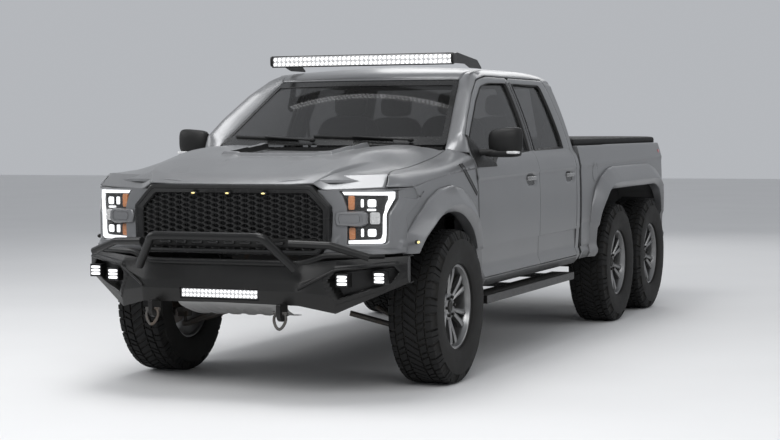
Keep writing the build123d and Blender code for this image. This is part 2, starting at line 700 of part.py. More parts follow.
def side_points(side, points):
    """Half-section points (distance out from the middle of the truck, radius) on one side."""
    return [(side * x, AXLE_Z + r) for x, r in points]


for side, side_name in ((1, "left"), (-1, "right")):
    for row_name, distance in WHEELS:
        axle = Axis((0, at(distance), AXLE_Z), (1, 0, 0))
        inner = WHEEL_X - TYRE_W / 2
        outer = WHEEL_X + TYRE_W / 2
        with BuildPart() as tyre:
            with BuildSketch(Plane.XZ.offset(-at(distance))):
                closed_face(side_points(side, [
                    (inner + 36, RIM_R), (inner + 8, RIM_R + 40), (inner, RIM_R + 105),
                    (inner + 8, TYRE_R - 40), (inner + 26, TYRE_R - 6), (inner + 60, TYRE_R),
                    (outer - 60, TYRE_R), (outer - 26, TYRE_R - 6), (outer - 8, TYRE_R - 40),
                    (outer, RIM_R + 105), (outer - 8, RIM_R + 40), (outer - 36, RIM_R)]))
            revolve(axis=axle)
        tyre.part.label = f"tyre_{row_name}_{side_name}"
        export_step(tyre.part, f"parts/tyre_{row_name}_{side_name}.step")

        with BuildPart() as rim:
            with BuildSketch(Plane.XZ.offset(-at(distance))):
                closed_face(side_points(side, [
                    (inner + 32, RIM_R), (outer - 32, RIM_R), (outer - 32, RIM_R - 14), (outer - 60, 232),
                    (inner + 50, 232), (inner + 32, RIM_R - 14)]))
            revolve(axis=axle)
            with BuildSketch(Plane.XZ.offset(-at(distance))):
                closed_face(side_points(side, [
                    (HUB_FACE_X, HUB_BORE_R), (HUB_FACE_X, 84), (1004, 84), (1010, 60), (1010, 0), (990, 0),
                    (990, HUB_BORE_R)]))
            revolve(axis=axle)
            for spoke in range(SPOKES):
                with BuildPart(mode=Mode.PRIVATE) as one_spoke:
                    block(sorted((side * 982, side * 1018)), (at(distance) - 26, at(distance) + 26),
                          (AXLE_Z + 70, AXLE_Z + 240))
                add(one_spoke.part.rotate(axle, 95 + spoke * 360 / SPOKES))
        rim.part.label = f"rim_{row_name}_{side_name}"
        export_step(rim.part, f"parts/rim_{row_name}_{side_name}.step")

    with BuildPart() as knuckle:
        block(sorted((side * 800, side * 866)), (at(-34), at(34)), (LOWER_BALL_Z + 48, UPPER_BALL_Z - 44))
        with Locations((side * KINGPIN_X, at(0), (LOWER_BALL_Z + UPPER_BALL_Z) / 2)):
            Cylinder(10, UPPER_BALL_Z - LOWER_BALL_Z - 36)
        with BuildSketch(Plane.YZ.offset(side * 780)) as carrier:
            with Locations((at(0), AXLE_Z)):
                Circle(78)
        extrude(carrier.sketch, amount=side * (HUB_FACE_X - 8 - 780))
        with BuildSketch(Plane.YZ.offset(side * 900)) as spindle:
            with Locations((at(0), AXLE_Z)):
                Circle(SPINDLE_R)
        extrude(spindle.sketch, amount=side * 80)
        block(sorted((side * 760, side * 810)), (at(-150), at(-20)), (392, 420))
    knuckle.part.label = f"knuckle_{side_name}"
    export_step(knuckle.part, f"parts/knuckle_{side_name}.step")

# ---------------------------------------------------------------- suspension and drivetrain
ARM_T = 26.0
SPRING_W = 64.0
SPRING_Z = 522.0
AXLE_R = 46.0
SPINDLE_END_X = 980.0

with BuildPart() as suspension_arms:
    for ball_z, inner_x, inner_z, spread in ((LOWER_BALL_Z, 430, 430, 210), (UPPER_BALL_Z, 500, 720, 120)):
        for way in (-1, 1):
            start = (KINGPIN_X - 10, at(way * 8), ball_z)
            finish = (inner_x, at(way * spread), inner_z)
            tube([start, finish], 10, ARM_T / 2 + 4)
        with Locations((KINGPIN_X, at(0), ball_z)):
            Cylinder(24, 30)
    mirror(about=Plane.YZ)
suspension_arms.part.label = "suspension_arms"
export_step(suspension_arms.part, "parts/suspension_arms.step")

with BuildPart() as rear_axles:
    for distance in (WHEELBASE, WHEELBASE + TANDEM):
        with BuildSketch(Plane.XZ.offset(-at(distance))):
            with BuildLine():
                Polyline((0, AXLE_Z), (SPINDLE_END_X, AXLE_Z), (SPINDLE_END_X, AXLE_Z + SPINDLE_R),
                         (HUB_FACE_X - 8, AXLE_Z + SPINDLE_R), (HUB_FACE_X - 8, AXLE_Z + AXLE_R),
                         (165, AXLE_Z + AXLE_R))
                ThreePointArc((165, AXLE_Z + AXLE_R), (112, AXLE_Z + 126), (0, AXLE_Z + 165))
                Line((0, AXLE_Z + 165), (0, AXLE_Z))
            make_face()
            mirror(about=Plane.YZ)
        revolve(axis=Axis((0, at(distance), AXLE_Z), (1, 0, 0)))
        for side in (-1, 1):
            pad = (side * FRAME_X - SPRING_W / 2, side * FRAME_X + SPRING_W / 2)
            block(pad, (at(distance - 55), at(distance + 55)), (AXLE_Z + 15, SPRING_Z))
rear_axles.part.label = "rear_axles"
export_step(rear_axles.part, "parts/rear_axles.step")

with BuildPart() as leaf_springs:
    for distance in (WHEELBASE, WHEELBASE + TANDEM):
        with BuildSketch(Plane.YZ.offset(FRAME_X - SPRING_W / 2)):
            with BuildLine():
                ThreePointArc((at(distance - 480), 560), (at(distance), 546), (at(distance + 480), 560))
                Line((at(distance + 480), 560), (at(distance + 480), 540))
                ThreePointArc((at(distance + 480), 540), (at(distance), SPRING_Z), (at(distance - 480), 540))
                Line((at(distance - 480), 540), (at(distance - 480), 560))
            make_face()
        extrude(amount=SPRING_W)
    mirror(about=Plane.YZ)
leaf_springs.part.label = "leaf_springs"
export_step(leaf_springs.part, "parts/leaf_springs.step")

with BuildPart() as engine_block:
    block((-290, 290), (at(-380), at(400)), (640, 1200))
    add(crossmembers.part, mode=Mode.SUBTRACT)
engine_block.part.label = "engine_block"
export_step(engine_block.part, "parts/engine_block.step")

with BuildPart() as exhaust:
    tube([(300, at(900), 552), (300, at(5060), 552), (420, at(5320), 470), (690, at(5396), 450)], 90, 30)
exhaust.part.label = "exhaust"
export_step(exhaust.part, "parts/exhaust.step")

with BuildPart() as fuel_tank:
    block((-380, -60), (at(1700), at(2850)), (440, 590))
fuel_tank.part.label = "fuel_tank"
export_step(fuel_tank.part, "parts/fuel_tank.step")

# ---------------------------------------------------------------- cabin
SEAT_X = 400.0

with BuildPart() as dashboard:
    fascia = points_at([(475, 1000), (475, 1390), (560, 1400), (800, 1360), (850, 1250), (760, 1000)])
    side_prism(fascia, -770, 770)
    block((-150, 150), (at(760), at(1500)), (850, 1010))
dashboard.part.label = "dashboard"
export_step(dashboard.part, "parts/dashboard.step")


def seat(x_low, x_high, front, head_rests):
    """Seat with its cushion starting at the distance front, a leaning back and its head rests."""
    side_prism(points_at([(front, 940), (front, 1060), (front + 470, 1060), (front + 560, 1640),
                          (front + 670, 1640), (front + 600, 940)]), x_low, x_high)
    for x in head_rests:
        block((x - 120, x + 120), (at(front + 575), at(front + 665)), (1640, 1810))


with BuildPart() as front_seats:
    for side in (-1, 1):
        centre = side * SEAT_X
        seat(centre - 250, centre + 250, 1110, (centre,))
        block((centre - 200, centre + 200), (at(1200), at(1640)), (735, 940))
front_seats.part.label = "front_seats"
export_step(front_seats.part, "parts/front_seats.step")

with BuildPart() as rear_seat:
    seat(-680, 680, 2060, (-430, 430))
    for side in (-1, 1):
        block(sorted((side * 190, side * 600)), (at(2100), at(2270)), (735, 940))
rear_seat.part.label = "rear_seat"
export_step(rear_seat.part, "parts/rear_seat.step")

with BuildPart() as steering_wheel:
    column = Plane(origin=(SEAT_X, at(950), 1230), z_dir=(0, 0.92, 0.39))
    with Locations(column):
        Torus(185, 15)
        Cylinder(58, 40)
        Box(350, 34, 14)
steering_wheel.part.label = "steering_wheel"
export_step(steering_wheel.part, "parts/steering_wheel.step")
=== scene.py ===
"""Looks of a six-wheeled crew-cab pickup truck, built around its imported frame.

Metres; +Z is up, the nose points to -Y and the driver's side is +X. Places along the truck are
written as distances behind the front axle, which at() turns into the frame's Y.
"""
import math

import bmesh
import bpy
import numpy as np
from mathutils import Matrix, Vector
from numpy import arange, array, asarray, broadcast_to, clip, concatenate, cos, hypot, interp, linspace
from numpy import maximum, minimum, sign, sin, stack, where


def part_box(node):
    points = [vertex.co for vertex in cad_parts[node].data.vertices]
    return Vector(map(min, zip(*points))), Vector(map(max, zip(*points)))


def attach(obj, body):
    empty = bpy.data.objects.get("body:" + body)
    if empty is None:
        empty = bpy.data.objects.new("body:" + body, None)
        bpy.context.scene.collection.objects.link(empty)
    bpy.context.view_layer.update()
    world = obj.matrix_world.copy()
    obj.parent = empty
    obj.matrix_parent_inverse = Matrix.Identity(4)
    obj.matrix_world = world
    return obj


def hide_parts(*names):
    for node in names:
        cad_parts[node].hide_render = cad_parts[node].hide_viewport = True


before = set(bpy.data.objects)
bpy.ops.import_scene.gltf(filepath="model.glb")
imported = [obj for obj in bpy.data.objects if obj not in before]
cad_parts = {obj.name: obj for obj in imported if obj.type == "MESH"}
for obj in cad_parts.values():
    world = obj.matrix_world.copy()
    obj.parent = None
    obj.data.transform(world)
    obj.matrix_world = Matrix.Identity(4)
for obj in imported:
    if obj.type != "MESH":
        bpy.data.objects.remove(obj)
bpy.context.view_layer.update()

# ---------- camera
# A long lens at chest height off the front left corner, pointing a little downwards and turned
# a hair out of level.


def put(name, data):
    """New object in the scene with this data."""
    made = bpy.data.objects.new(name, data)
    bpy.context.scene.collection.objects.link(made)
    return made


def stand(thing, across, up, back, spot):
    """Turns an object's own axes these ways and stands it on its spot."""
    rows = zip(stack([across, up, back], 1), spot)
    thing.matrix_world = Matrix([(*row, shift) for row, shift in rows] + [(0, 0, 0, 1)])


camera_data = bpy.data.cameras.new("camera")
camera_data.lens = 81.646
camera_data.sensor_width = 36
camera = put("camera", camera_data)
yaw, pitch, roll = (math.radians(turn) for turn in (22.297, -2.98, -0.3385))
ahead = array([-math.sin(yaw) * math.cos(pitch), math.cos(yaw) * math.cos(pitch), math.sin(pitch)])
level = array([math.cos(yaw), math.sin(yaw), 0])
above = np.cross(level, ahead)
stand(camera, level * math.cos(roll) + above * math.sin(roll), above * math.cos(roll)
    - level * math.sin(roll), -ahead, (4.7513, -12.2059, 1.5604))
bpy.context.scene.camera = camera

# ---------- chassis
# A welded ladder frame in chassis black, with cast arms, axles and knuckles, leaf springs and a
# steel exhaust hung under it. Paint is sprayed; castings are left as cast, and all carry road dust.


class Value:
    """A number or colour on a socket. Each operator adds the Math node that works it out."""

    def __init__(self, finish, socket):
        self.finish = finish
        self.socket = socket

    def math(self, operation, first, second=0):
        return self.finish.node("ShaderNodeMath", {"operation": operation}, {0: first, 1: second})

    def __add__(self, other):
        return self.math("ADD", self, other)

    def __rsub__(self, other):
        return self.math("SUBTRACT", other, self)

    def __mul__(self, other):
        return self.math("MULTIPLY", self, other)

    __radd__ = __add__
    __rmul__ = __mul__

    def wave(self):
        """Sine of the number."""
        return self.math("SINE", self)

    def least(self, other):
        return self.math("MINIMUM", self, other)

    def rise(self, low, high):
        """0 up to low, 1 from high on, with a smooth step between them."""
        settings = {"interpolation_type": "SMOOTHSTEP"}
        return self.finish.node("ShaderNodeMapRange", settings, {0: self, 1: low, 2: high})


class Finish:
    """One material: a Principled surface, and the nodes that feed it. Its colour and roughness may be
    given as what tones() and patchy() take, and the dust on it as what follows dust()'s colours."""

    def __init__(self, name, constants, colour=None, rough=None, dusty=None):
        self.name = name
        self.material = bpy.data.materials.new(name)
        self.material.use_nodes = True
        self.tree = self.material.node_tree
        self.surface = self.tree.nodes["Principled BSDF"]
        self.feed(constants)
        if colour:
            tones = self.tones(*colour)
            self.feed({"Base Color": self.dust(tones, DUST, *dusty) if dusty else tones})
        if rough:
            self.feed({"Roughness": self.patchy(*rough)})

    def join(self, socket, value):
        if isinstance(value, Value):
            self.tree.links.new(value.socket, socket)
        else:
            socket.default_value = value

    def node(self, kind, settings=None, inputs=None, output=0):
        """Adds a node, sets its settings, feeds its inputs and returns one of its outputs."""
        made = self.tree.nodes.new(kind)
        for key, value in (settings or {}).items():
            setattr(made, key, value)
        for key, value in (inputs or {}).items():
            self.join(made.inputs[key], value)
        return Value(self, made.outputs[output])

    def feed(self, inputs):
        """Sets or links sockets of the Principled surface by name."""
        for key, value in inputs.items():
            self.join(self.surface.inputs[key], value)

    def spot(self):
        """The point on the object in metres."""
        return self.node("ShaderNodeTexCoord", output="Object")

    def axis(self, letter):
        """The point's x, y or z in metres."""
        return self.node("ShaderNodeSeparateXYZ", None, {0: self.spot()}, "XYZ".index(letter))

    def noise(self, scale, detail=3):
        inputs = {"Vector": self.spot(), "Scale": scale, "Detail": detail}
        return self.node("ShaderNodeTexNoise", None, inputs)

    def cells(self, scale):
        """Distance to the nearest of scattered points, in cells."""
        return self.node("ShaderNodeTexVoronoi", None, {"Vector": self.spot(), "Scale": scale})

    def mix(self, share, first, second):
        """Colour between first and second."""
        return self.node("ShaderNodeMix", {"data_type": "RGBA"}, {0: share, 6: first, 7: second}, 2)

    def tones(self, scale, low, high, detail=3, sharp=None):
        """Colour in patches between two, each a colour or the level of a grey. The patches are soft
        unless sharp says where their edges start and end."""
        low, high = (grey(tone) if isinstance(tone, float) else tone for tone in (low, high))
        share = self.noise(scale, detail)
        return self.mix(share.rise(*sharp) if sharp else share, low, high)

    def patchy(self, scale, reach, least, detail=3):
        """Number in soft patches, from the least up by the reach."""
        return self.noise(scale, detail) * reach + least

    def bump(self, height, distance, strength=1):
        """Turns a height pattern into the surface's normal."""
        inputs = {"Height": height, "Distance": distance, "Strength": strength}
        self.feed({"Normal": self.node("ShaderNodeBump", None, inputs)})

    def dust(self, clean, dusty, low=0.35, high=1.15, amount=0.6):
        """Colour with road dust in patches, thickest at the height low and gone at high."""
        reach = 1 - self.axis("Z").rise(low, high)
        return self.mix((reach * self.noise(3.1, 6) * amount).least(1), clean, dusty)


def grey(level, blue=0):
    """Neutral colour, a little bluer when asked."""
    return (level * (1 - blue), level * (1 - blue / 3), level * (1 + blue), 1)


def dress(finish, *nodes):
    """Gives CAD nodes their finish."""
    for node in nodes:
        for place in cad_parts[node].material_slots:
            place.material = finish.material


DUST = (0.2, 0.175, 0.145, 1)

frame_paint = Finish("frame_paint", {"Coat Weight": 0.2, "Coat Roughness": 0.3}, None, (9, 0.25, 0.36))
frame_paint.feed({"Base Color": frame_paint.dust(grey(0.018), DUST, 0.2, 1, 0.55)})
frame_paint.bump(frame_paint.noise(260), 0.0006, 0.5)
dress(frame_paint, "frame_rails", "crossmembers")

cast_steel = Finish("cast_steel", {"Metallic": 0.75}, (14, 0.075, (0.105, 0.075, 0.055, 1), 3,
    (0.45, 0.75)), (40, 0.3, 0.42), (0.2, 0.9, 0.5))
cast_steel.bump(cast_steel.noise(420, 5), 0.0009, 0.8)
dress(cast_steel, "engine_block", "knuckle_left", "knuckle_right", "suspension_arms", "rear_axles")

spring_steel = Finish("spring_steel", {"Metallic": 0.6}, None, (30, 0.25, 0.45))
spring_steel.feed({"Base Color": spring_steel.dust(grey(0.05), DUST, 0.3, 0.8, 0.6)})
spring_steel.bump((spring_steel.axis("Z") * 900).wave(), 0.002, 0.7)
dress(spring_steel, "leaf_springs")

exhaust_steel = Finish("exhaust_steel", {"Metallic": 1}, (2.2, 0.42, (0.36, 0.27, 0.18, 1), 4, (0.4, 0.7)),
    (60, 0.2, 0.28))
dress(exhaust_steel, "exhaust")

moulded = Finish("black_plastic", {"Specular IOR Level": 0.22}, (6, 0.01, 0.016), (24, 0.14, 0.42),
    (0.3, 1.1, 0.1))
moulded.bump(moulded.cells(700), 0.0004, 0.6)
dress(moulded, "fuel_tank")

# ---------- wheels
# Six deep-lugged rubber tyres on cast alloy rims with six split spokes. Each rim is bolted to its hub
# by six nuts in front of a ventilated iron disc, and a plastic cap closes its bore.
SIDES = ((1, "left"), (-1, "right"))
HALF_TURN, TURN = math.pi, 2 * math.pi


def middle(node):
    """Centre of a CAD node's box."""
    low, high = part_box(node)
    return (array(low) + array(high)) / 2


FRONT_AXLE = middle("tyre_front_left")[1]


def at(distance):
    """Y of a point this far behind the front axle."""
    return FRONT_AXLE + distance


def quads(rows, columns, ring_rows=False, ring_columns=False):
    """Faces of a grid of points numbered row by row; a ring's last line joins its first."""
    r = arange(rows - (not ring_rows))[:, None]
    c = arange(columns - (not ring_columns))[None, :]
    r2, c2 = (r + 1) % rows, (c + 1) % columns
    corners = (r * columns + c, r2 * columns + c, r2 * columns + c2, r * columns + c2)
    return stack(np.broadcast_arrays(*corners), -1).reshape(-1, 4)


def patch(grid, ring_rows=False, ring_columns=False, finish=0):
    """Points, faces and the number of their finish, from a grid of points (rows, columns, 3)."""
    rows, columns = grid.shape[:2]
    return grid.reshape(-1, 3), quads(rows, columns, ring_rows, ring_columns), finish


def hoop(grid, finish=0):
    """Patch whose columns close into rings."""
    return patch(grid, ring_columns=True, finish=finish)


def spots(*axes):
    """Grid of points from the values on each of their axes."""
    return stack(np.broadcast_arrays(*axes), -1)


def facet(points, finish=0):
    """One flat face through the points."""
    return array(points, float), arange(len(points))[None, :], finish


def moved(patches, offset=(0, 0, 0), flip=(1, 1, 1)):
    """The same patches flipped about the truck's middle planes and then shifted."""
    inside_out = np.prod(flip) < 0
    return [(points * array(flip) + array(offset), faces[:, ::-1] if inside_out else faces, finish)
        for points, faces, finish in patches]


def both(patches):
    """The patches and their twins on the truck's other side."""
    return list(patches) + moved(patches, flip=(-1, 1, 1))


def circle(count):
    """Angles evenly round a circle."""
    return linspace(0, TURN, count, endpoint=False)


def turned(profile, count, ring=True):
    """Profile of (x, radius) points turned about the X axis."""
    x, radius = array(profile).T
    angle = circle(count)[:, None]
    return patch(spots(x, radius * cos(angle), radius * sin(angle)), True, ring)


def facing_out(patches, centre):
    """The same patches, each turned over if its faces look towards the centre on the whole."""
    turned_over = []
    for points, faces, finish in patches:
        first, second, third = points[faces[:, 0]], points[faces[:, 1]], points[faces[:, 2]]
        normals = np.cross(second - first, third - first)
        outward = (normals * (first - array(centre))).sum() > 0
        turned_over.append((points, faces if outward else faces[:, ::-1], finish))
    return turned_over


def assemble(name, mesh, finishes, body, smooth):
    """Gives a mesh its finishes and sets it on its body as a piece. Edges sharper than the smooth
    angle stay crisp."""
    for finish in finishes:
        mesh.materials.append(finish.material)
    mesh.shade_smooth()
    mesh.set_sharp_from_angle(angle=math.radians(smooth))
    piece = put(name, mesh)
    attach(piece, body)
    return piece


def make(name, patches, finishes, body="root", centre=None, closed=False, smooth=35, merge=None,
    trace=None, wall=0, edge=0.002):
    """Piece from patches, near points merged. Sheets face away from the centre, given whole or as its
    distance and height, and may get a wall; closed shells are turned outwards."""
    if centre is not None:
        patches = facing_out(patches, centre if len(centre) == 3 else (0, at(centre[0]), centre[1]))
    points = concatenate([p for p, faces, finish in patches])
    starts = np.cumsum([0] + [len(p) for p, faces, finish in patches[:-1]])
    faces = [face for (p, rows, finish), start in zip(patches, starts) for face in (rows + start).tolist()]
    marks = concatenate([broadcast_to(finish, len(rows)) for p, rows, finish in patches])
    mesh = bpy.data.meshes.new(name)
    mesh.from_pydata(points.tolist(), [], faces)
    mesh.polygons.foreach_set("material_index", marks.astype(np.int32))
    if trace is not None:
        mesh.attributes.new("trace", "FLOAT", "POINT").data.foreach_set("value", trace.astype(np.float32))
    work = bmesh.new()
    work.from_mesh(mesh)
    bmesh.ops.remove_doubles(work, verts=work.verts, dist=merge or (1e-5 if closed else 2e-4))
    bmesh.ops.dissolve_degenerate(work, edges=work.edges, dist=1e-5)
    if closed:
        bmesh.ops.recalc_face_normals(work, faces=work.faces)
    work.to_mesh(mesh)
    work.free()
    finishes = finishes if isinstance(finishes, list) else [finishes]
    piece = assemble(name, mesh, finishes, body, smooth)
    return thicken(piece, wall, edge) if wall else piece


TREAD_DEPTH = 0.013
PITCHES = 30
# Lateral place and radius of each line round the tyre, and how much of the tread depth it loses
# where a groove of its own band crosses it: 1 shoulder lugs, 2 inner blocks, 3 middle rib.
TYRE_LINES = array([(-0.123, 0.258, 0), (-0.141, 0.262, 0), (-0.149, 0.276, 0), (-0.1535, 0.3, 0),
    (-0.159, 0.355, 0), (-0.158, 0.392, 0), (-0.1555, 0.412, 0), (-0.1545, 0.418, 1), (-0.1495, 0.432, 1),
    (-0.134, 0.463, 1), (-0.118, 0.4685, 1), (-0.1, 0.47, 1), (-0.099, 0.47, 4), (-0.089, 0.47, 4),
    (-0.088, 0.47, 2), (-0.048, 0.47, 2), (-0.047, 0.47, 4), (-0.038, 0.47, 4), (-0.037, 0.47, 3),
    (0, 0.47, 3)])
lines = concatenate([TYRE_LINES, TYRE_LINES[-2::-1] * [-1, 1, 1]])
STEPS = array([0, 0.02, 0.15, 0.17, 0.34, 0.36, 0.47, 0.49, 0.53, 0.55, 0.7, 0.72, 0.86, 0.88])
turns = (arange(PITCHES)[:, None] + STEPS[None, :]).ravel()
share = (turns % 1)[:, None]
lateral, radius, band = lines.T
# Grooves across each band: its number, where in the pitch they start and end, and how deep they are.
GROOVES = ((1, 0.01, 0.16, 1), (1, 0.48, 0.54, 0.5), (2, 0.35, 0.48, 0.9), (2, 0.71, 0.87, 0.9),
    (3, 0.01, 0.16, 0.8), (3, 0.54, 0.71, 0.8), (4, -1, 2, 1))
cut = sum((band == kind) * ((share > start) & (share < end)) * deep for kind, start, end, deep in GROOVES)
short_lug = (arange(len(turns)) // len(STEPS) % 2 == 1)[:, None]
cut = maximum(cut, (band == 1) * (radius < 0.44) * short_lug * 0.8)
fade = clip((radius - 0.4) / 0.02, 0.6, 1)
depth = cut * TREAD_DEPTH * fade
skew = 0.3 * sin(lateral / 0.1 * HALF_TURN) * clip(1.3 - abs(lateral) / 0.12, 0, 1)
angle = (turns[:, None] + skew) * TURN / PITCHES
out = clip((abs(lateral) - 0.1) / 0.05, 0, 1)
reach = radius - depth * (1 - 0.5 * out)
bulge = lateral - sign(lateral) * depth * out * 1.05
tyre_grid = spots(bulge, reach * cos(angle), reach * sin(angle))
tyre_patch = patch(tyre_grid, ring_rows=True)
tyre_trace = (depth / TREAD_DEPTH + (radius < 0.415) * 0.5).ravel()

rubber = Finish("tyre", {"Specular IOR Level": 0.2})
wear = rubber.node("ShaderNodeAttribute", {"attribute_name": "trace"}, output="Fac")
grime = rubber.noise(11, 6)
rubber.feed({"Base Color": rubber.mix((wear * grime).least(1) * 0.4, grey(0.012), (0.05, 0.045, 0.038, 1)),
    "Roughness": grime * 0.25 + 0.58})
rubber.bump(rubber.noise(520, 4), 0.0005, 0.6)

alloy = Finish("rim", {"Metallic": 0.85, "Coat Weight": 0.25, "Coat Roughness": 0.2},
    (5, 0.11, 0.15, 3, (0.35, 0.7)), (70, 0.2, 0.3), (0.1, 0.9, 0.3))
alloy.bump(alloy.noise(900), 0.0002, 0.4)
machined = Finish("rim_face", {"Metallic": 0.9, "Coat Weight": 0.3, "Coat Roughness": 0.15}, (8, 0.2, 0.26),
    (90, 0.15, 0.26))
disc_iron = Finish("brake_disc", {"Metallic": 1}, (45, 0.24, (0.2, 0.16, 0.13, 1)), (160, 0.25, 0.3))

BARREL = [(-0.127, 0.2578), (-0.127, 0.247), (-0.112, 0.236), (0.086, 0.23), (0.104, 0.234), (0.116, 0.24),
    (0.124, 0.243), (0.127, 0.248), (0.127, 0.2578), (0.1, 0.2578), (-0.1, 0.2578)]
HUB = [(0.03, 0.036), (0.03, 0.084), (0.07, 0.086), (0.08, 0.08), (0.083, 0.07), (0.0835, 0.046),
    (0.074, 0.04), (0.072, 0.036)]
CAP = [(0.072, 0.036), (0.086, 0.0355), (0.0885, 0.032), (0.0885, 0.024), (0.0865, 0.021), (0.0865, 0.01),
    (0.0875, 0)]
SPOKES = 6


def spoke_bar(turn, lean):
    """One bar of a split spoke: a ridged section carried outwards from the hub. It widens and rises
    to the rim, and turns aside by lean; turn is the spoke's own angle."""
    t = linspace(0, 1, 9)[:, None]
    run = 0.062 + 0.184 * t
    rise = 0.079 + 0.026 * sin(t * HALF_TURN / 2) ** 1.5 - 0.004 * t ** 6
    half = 0.011 + 0.0085 * t
    side = array([-1, -1, -0.72, 0, 0.72, 1, 1])
    drop = array([-0.04, -0.006, -0.0015, 0.0028, -0.0015, -0.006, -0.04])
    swing = lean * (0.115 + 0.075 * t)
    along_spoke = run * cos(swing)
    beside = run * sin(swing) + side * half
    high = rise + drop * (1 - 0.25 * t)
    c, s = math.cos(turn), math.sin(turn)
    grid = spots(high + 0 * beside, along_spoke * c - beside * s, along_spoke * s + beside * c)
    return [hoop(grid), facet(grid[0]), facet(grid[-1])]


def nut(turn):
    """Six-sided nut with a domed end, on the hub's bolt circle."""
    ring = arange(6) * HALF_TURN / 3
    lines = [(0.078, 0.0105), (0.094, 0.0105), (0.097, 0.008), (0.0985, 0.004)]
    grid = stack([spots(x, 0.0605 * math.cos(turn) + r * cos(ring), 0.0605 * math.sin(turn) + r * sin(ring))
        for x, r in lines])
    return [hoop(grid), facet(grid[-1]), facet(grid[0])]


wheel_metal = [turned(BARREL, 96), turned(HUB, 48, ring=False)]
wheel_trim = [turned(CAP, 36, ring=False)]
for spoke in range(SPOKES):
    turn = math.radians(95 + spoke * 360 / SPOKES)
    wheel_metal += spoke_bar(turn, 1) + spoke_bar(turn, -1)
    wheel_trim += nut(turn + HALF_TURN / SPOKES)
DISC = [(-0.022, 0.082), (-0.022, 0.172), (-0.012, 0.172), (-0.012, 0.165), (-0.008, 0.165),
    (-0.008, 0.172), (0.002, 0.172), (0.002, 0.095), (0.012, 0.09), (0.028, 0.09), (0.028, 0.082)]
disc_patches = [turned(DISC, 72)]
calliper_angle = linspace(-0.55, 0.55, 13)[:, None]
CALLIPER = array([(-0.045, 0.118), (-0.045, 0.186), (-0.028, 0.197), (0.01, 0.197), (0.024, 0.188),
    (0.024, 0.15), (0.018, 0.12), (0.008, 0.118), (0.008, 0.178), (-0.028, 0.178), (-0.028, 0.118)])
calliper_grid = spots(CALLIPER[:, 0], CALLIPER[:, 1] * cos(calliper_angle),
    CALLIPER[:, 1] * sin(calliper_angle))
calliper_patches = [hoop(calliper_grid), facet(calliper_grid[0]), facet(calliper_grid[-1][::-1])]

for side, hand in SIDES:
    for row in ("front", "middle", "rear"):
        centre = middle(f"tyre_{row}_{hand}")
        body = f"{row}_{hand}_wheel"
        flip = (side, 1, 1)
        tyre = make(f"tyre_tread_{row}_{hand}", moved([tyre_patch], centre, flip), rubber, body,
            centre=centre, smooth=28, trace=tyre_trace)
        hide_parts(f"tyre_{row}_{hand}")
        rim = make(f"rim_alloy_{row}_{hand}", moved(wheel_metal, centre, flip), [machined, alloy], body,
            closed=True, smooth=30, merge=2e-4)
        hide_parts(f"rim_{row}_{hand}")
        make(f"rim_nuts_{row}_{hand}", moved(wheel_trim, centre, flip), moulded, body, closed=True,
            merge=2e-4)
        make(f"brake_disc_{row}_{hand}", moved(disc_patches, centre, flip), disc_iron, body,
            closed=True, merge=2e-4)
        holder = f"{hand}_knuckle" if row == "front" else "root"
        make(f"calliper_{row}_{hand}", moved(calliper_patches, centre, flip), cast_steel, holder,
            closed=True)

# ---------- cab
# Pressed steel panels spot-welded into a shell and sprayed satin metallic grey: a dark base with a fine
# flake under a clear coat dulled by road film. The inner faces are trimmed in grained plastic.


def arc(start, through, end, count=12):
    """Points on the circle arc from start through a point to end."""
    a, b, c = (array(p, float) for p in (start, through, end))
    centre = np.linalg.solve(2 * array([b - a, c - a]), [b @ b - a @ a, c @ c - a @ a])
    first, between, last = (math.atan2(*(p - centre)[::-1]) for p in (a, b, c))
    sweep = (last - first) % TURN
    if (between - first) % TURN > sweep:
        sweep -= TURN
    angles = first + linspace(0, 1, count) * sweep
    return centre + np.linalg.norm(a - centre) * stack([cos(angles), sin(angles)], 1)


def curve(x, knots, values):
    """Smooth curve through the knots: cubic pieces, each knot's slope that of its two neighbours."""
    x, knots, values = (asarray(v, float) for v in (x, knots, values))
    slope = np.gradient(values, knots)
    i = clip(np.searchsorted(knots, x, side="right") - 1, 0, len(knots) - 2)
    step = knots[i + 1] - knots[i]
    t = clip((x - knots[i]) / step, 0, 1)
    start = values[i] * (1 + 2 * t) * (1 - t) ** 2 + slope[i] * step * t * (1 - t) ** 2
    return start + values[i + 1] * t * t * (3 - 2 * t) + slope[i + 1] * step * t * t * (t - 1)


def unit(way):
    """The same directions at length one."""
    return way / np.linalg.norm(way, axis=-1, keepdims=True)


def ramp(x, low, high):
    """0 up to low, 1 from high on, with a smooth step between."""
    t = clip((asarray(x, float) - low) / (high - low), 0, 1)
    return t * t * (3 - 2 * t)


def rounded(points, radii, bend=5, run=6):
    """Polyline with its inner corners rounded: bend points round each corner, run along each side.
    Two outlines with as many corners get as many points, so a skin can be laid between them."""
    points = asarray(points, float)
    radii = broadcast_to(radii, len(points) - 2)
    parts, last = [], points[0]
    for before, corner, after, radius in zip(points[:-2], points[1:-1], points[2:], radii):
        to, fro = before - corner, after - corner
        trim = min(radius, 0.45 * np.linalg.norm(to), 0.45 * np.linalg.norm(fro))
        start, end = corner + unit(to) * trim, corner + unit(fro) * trim
        parts.append(last + (start - last) * linspace(0, 1, run, endpoint=False)[:, None])
        t = linspace(0, 1, bend, endpoint=False)[:, None]
        parts.append(start * (1 - t) ** 2 + corner * 2 * t * (1 - t) + end * t * t)
        last = end
    parts.append(last + (points[-1] - last) * linspace(0, 1, run)[:, None])
    return concatenate(parts)


def cut_marks(counts):
    """Marks along a polyline, which number its corners, with each side in its count of equal parts."""
    sides = [linspace(i, i + 1, n, endpoint=False) for i, n in enumerate(counts)]
    return concatenate(sides + [[float(len(counts))]])


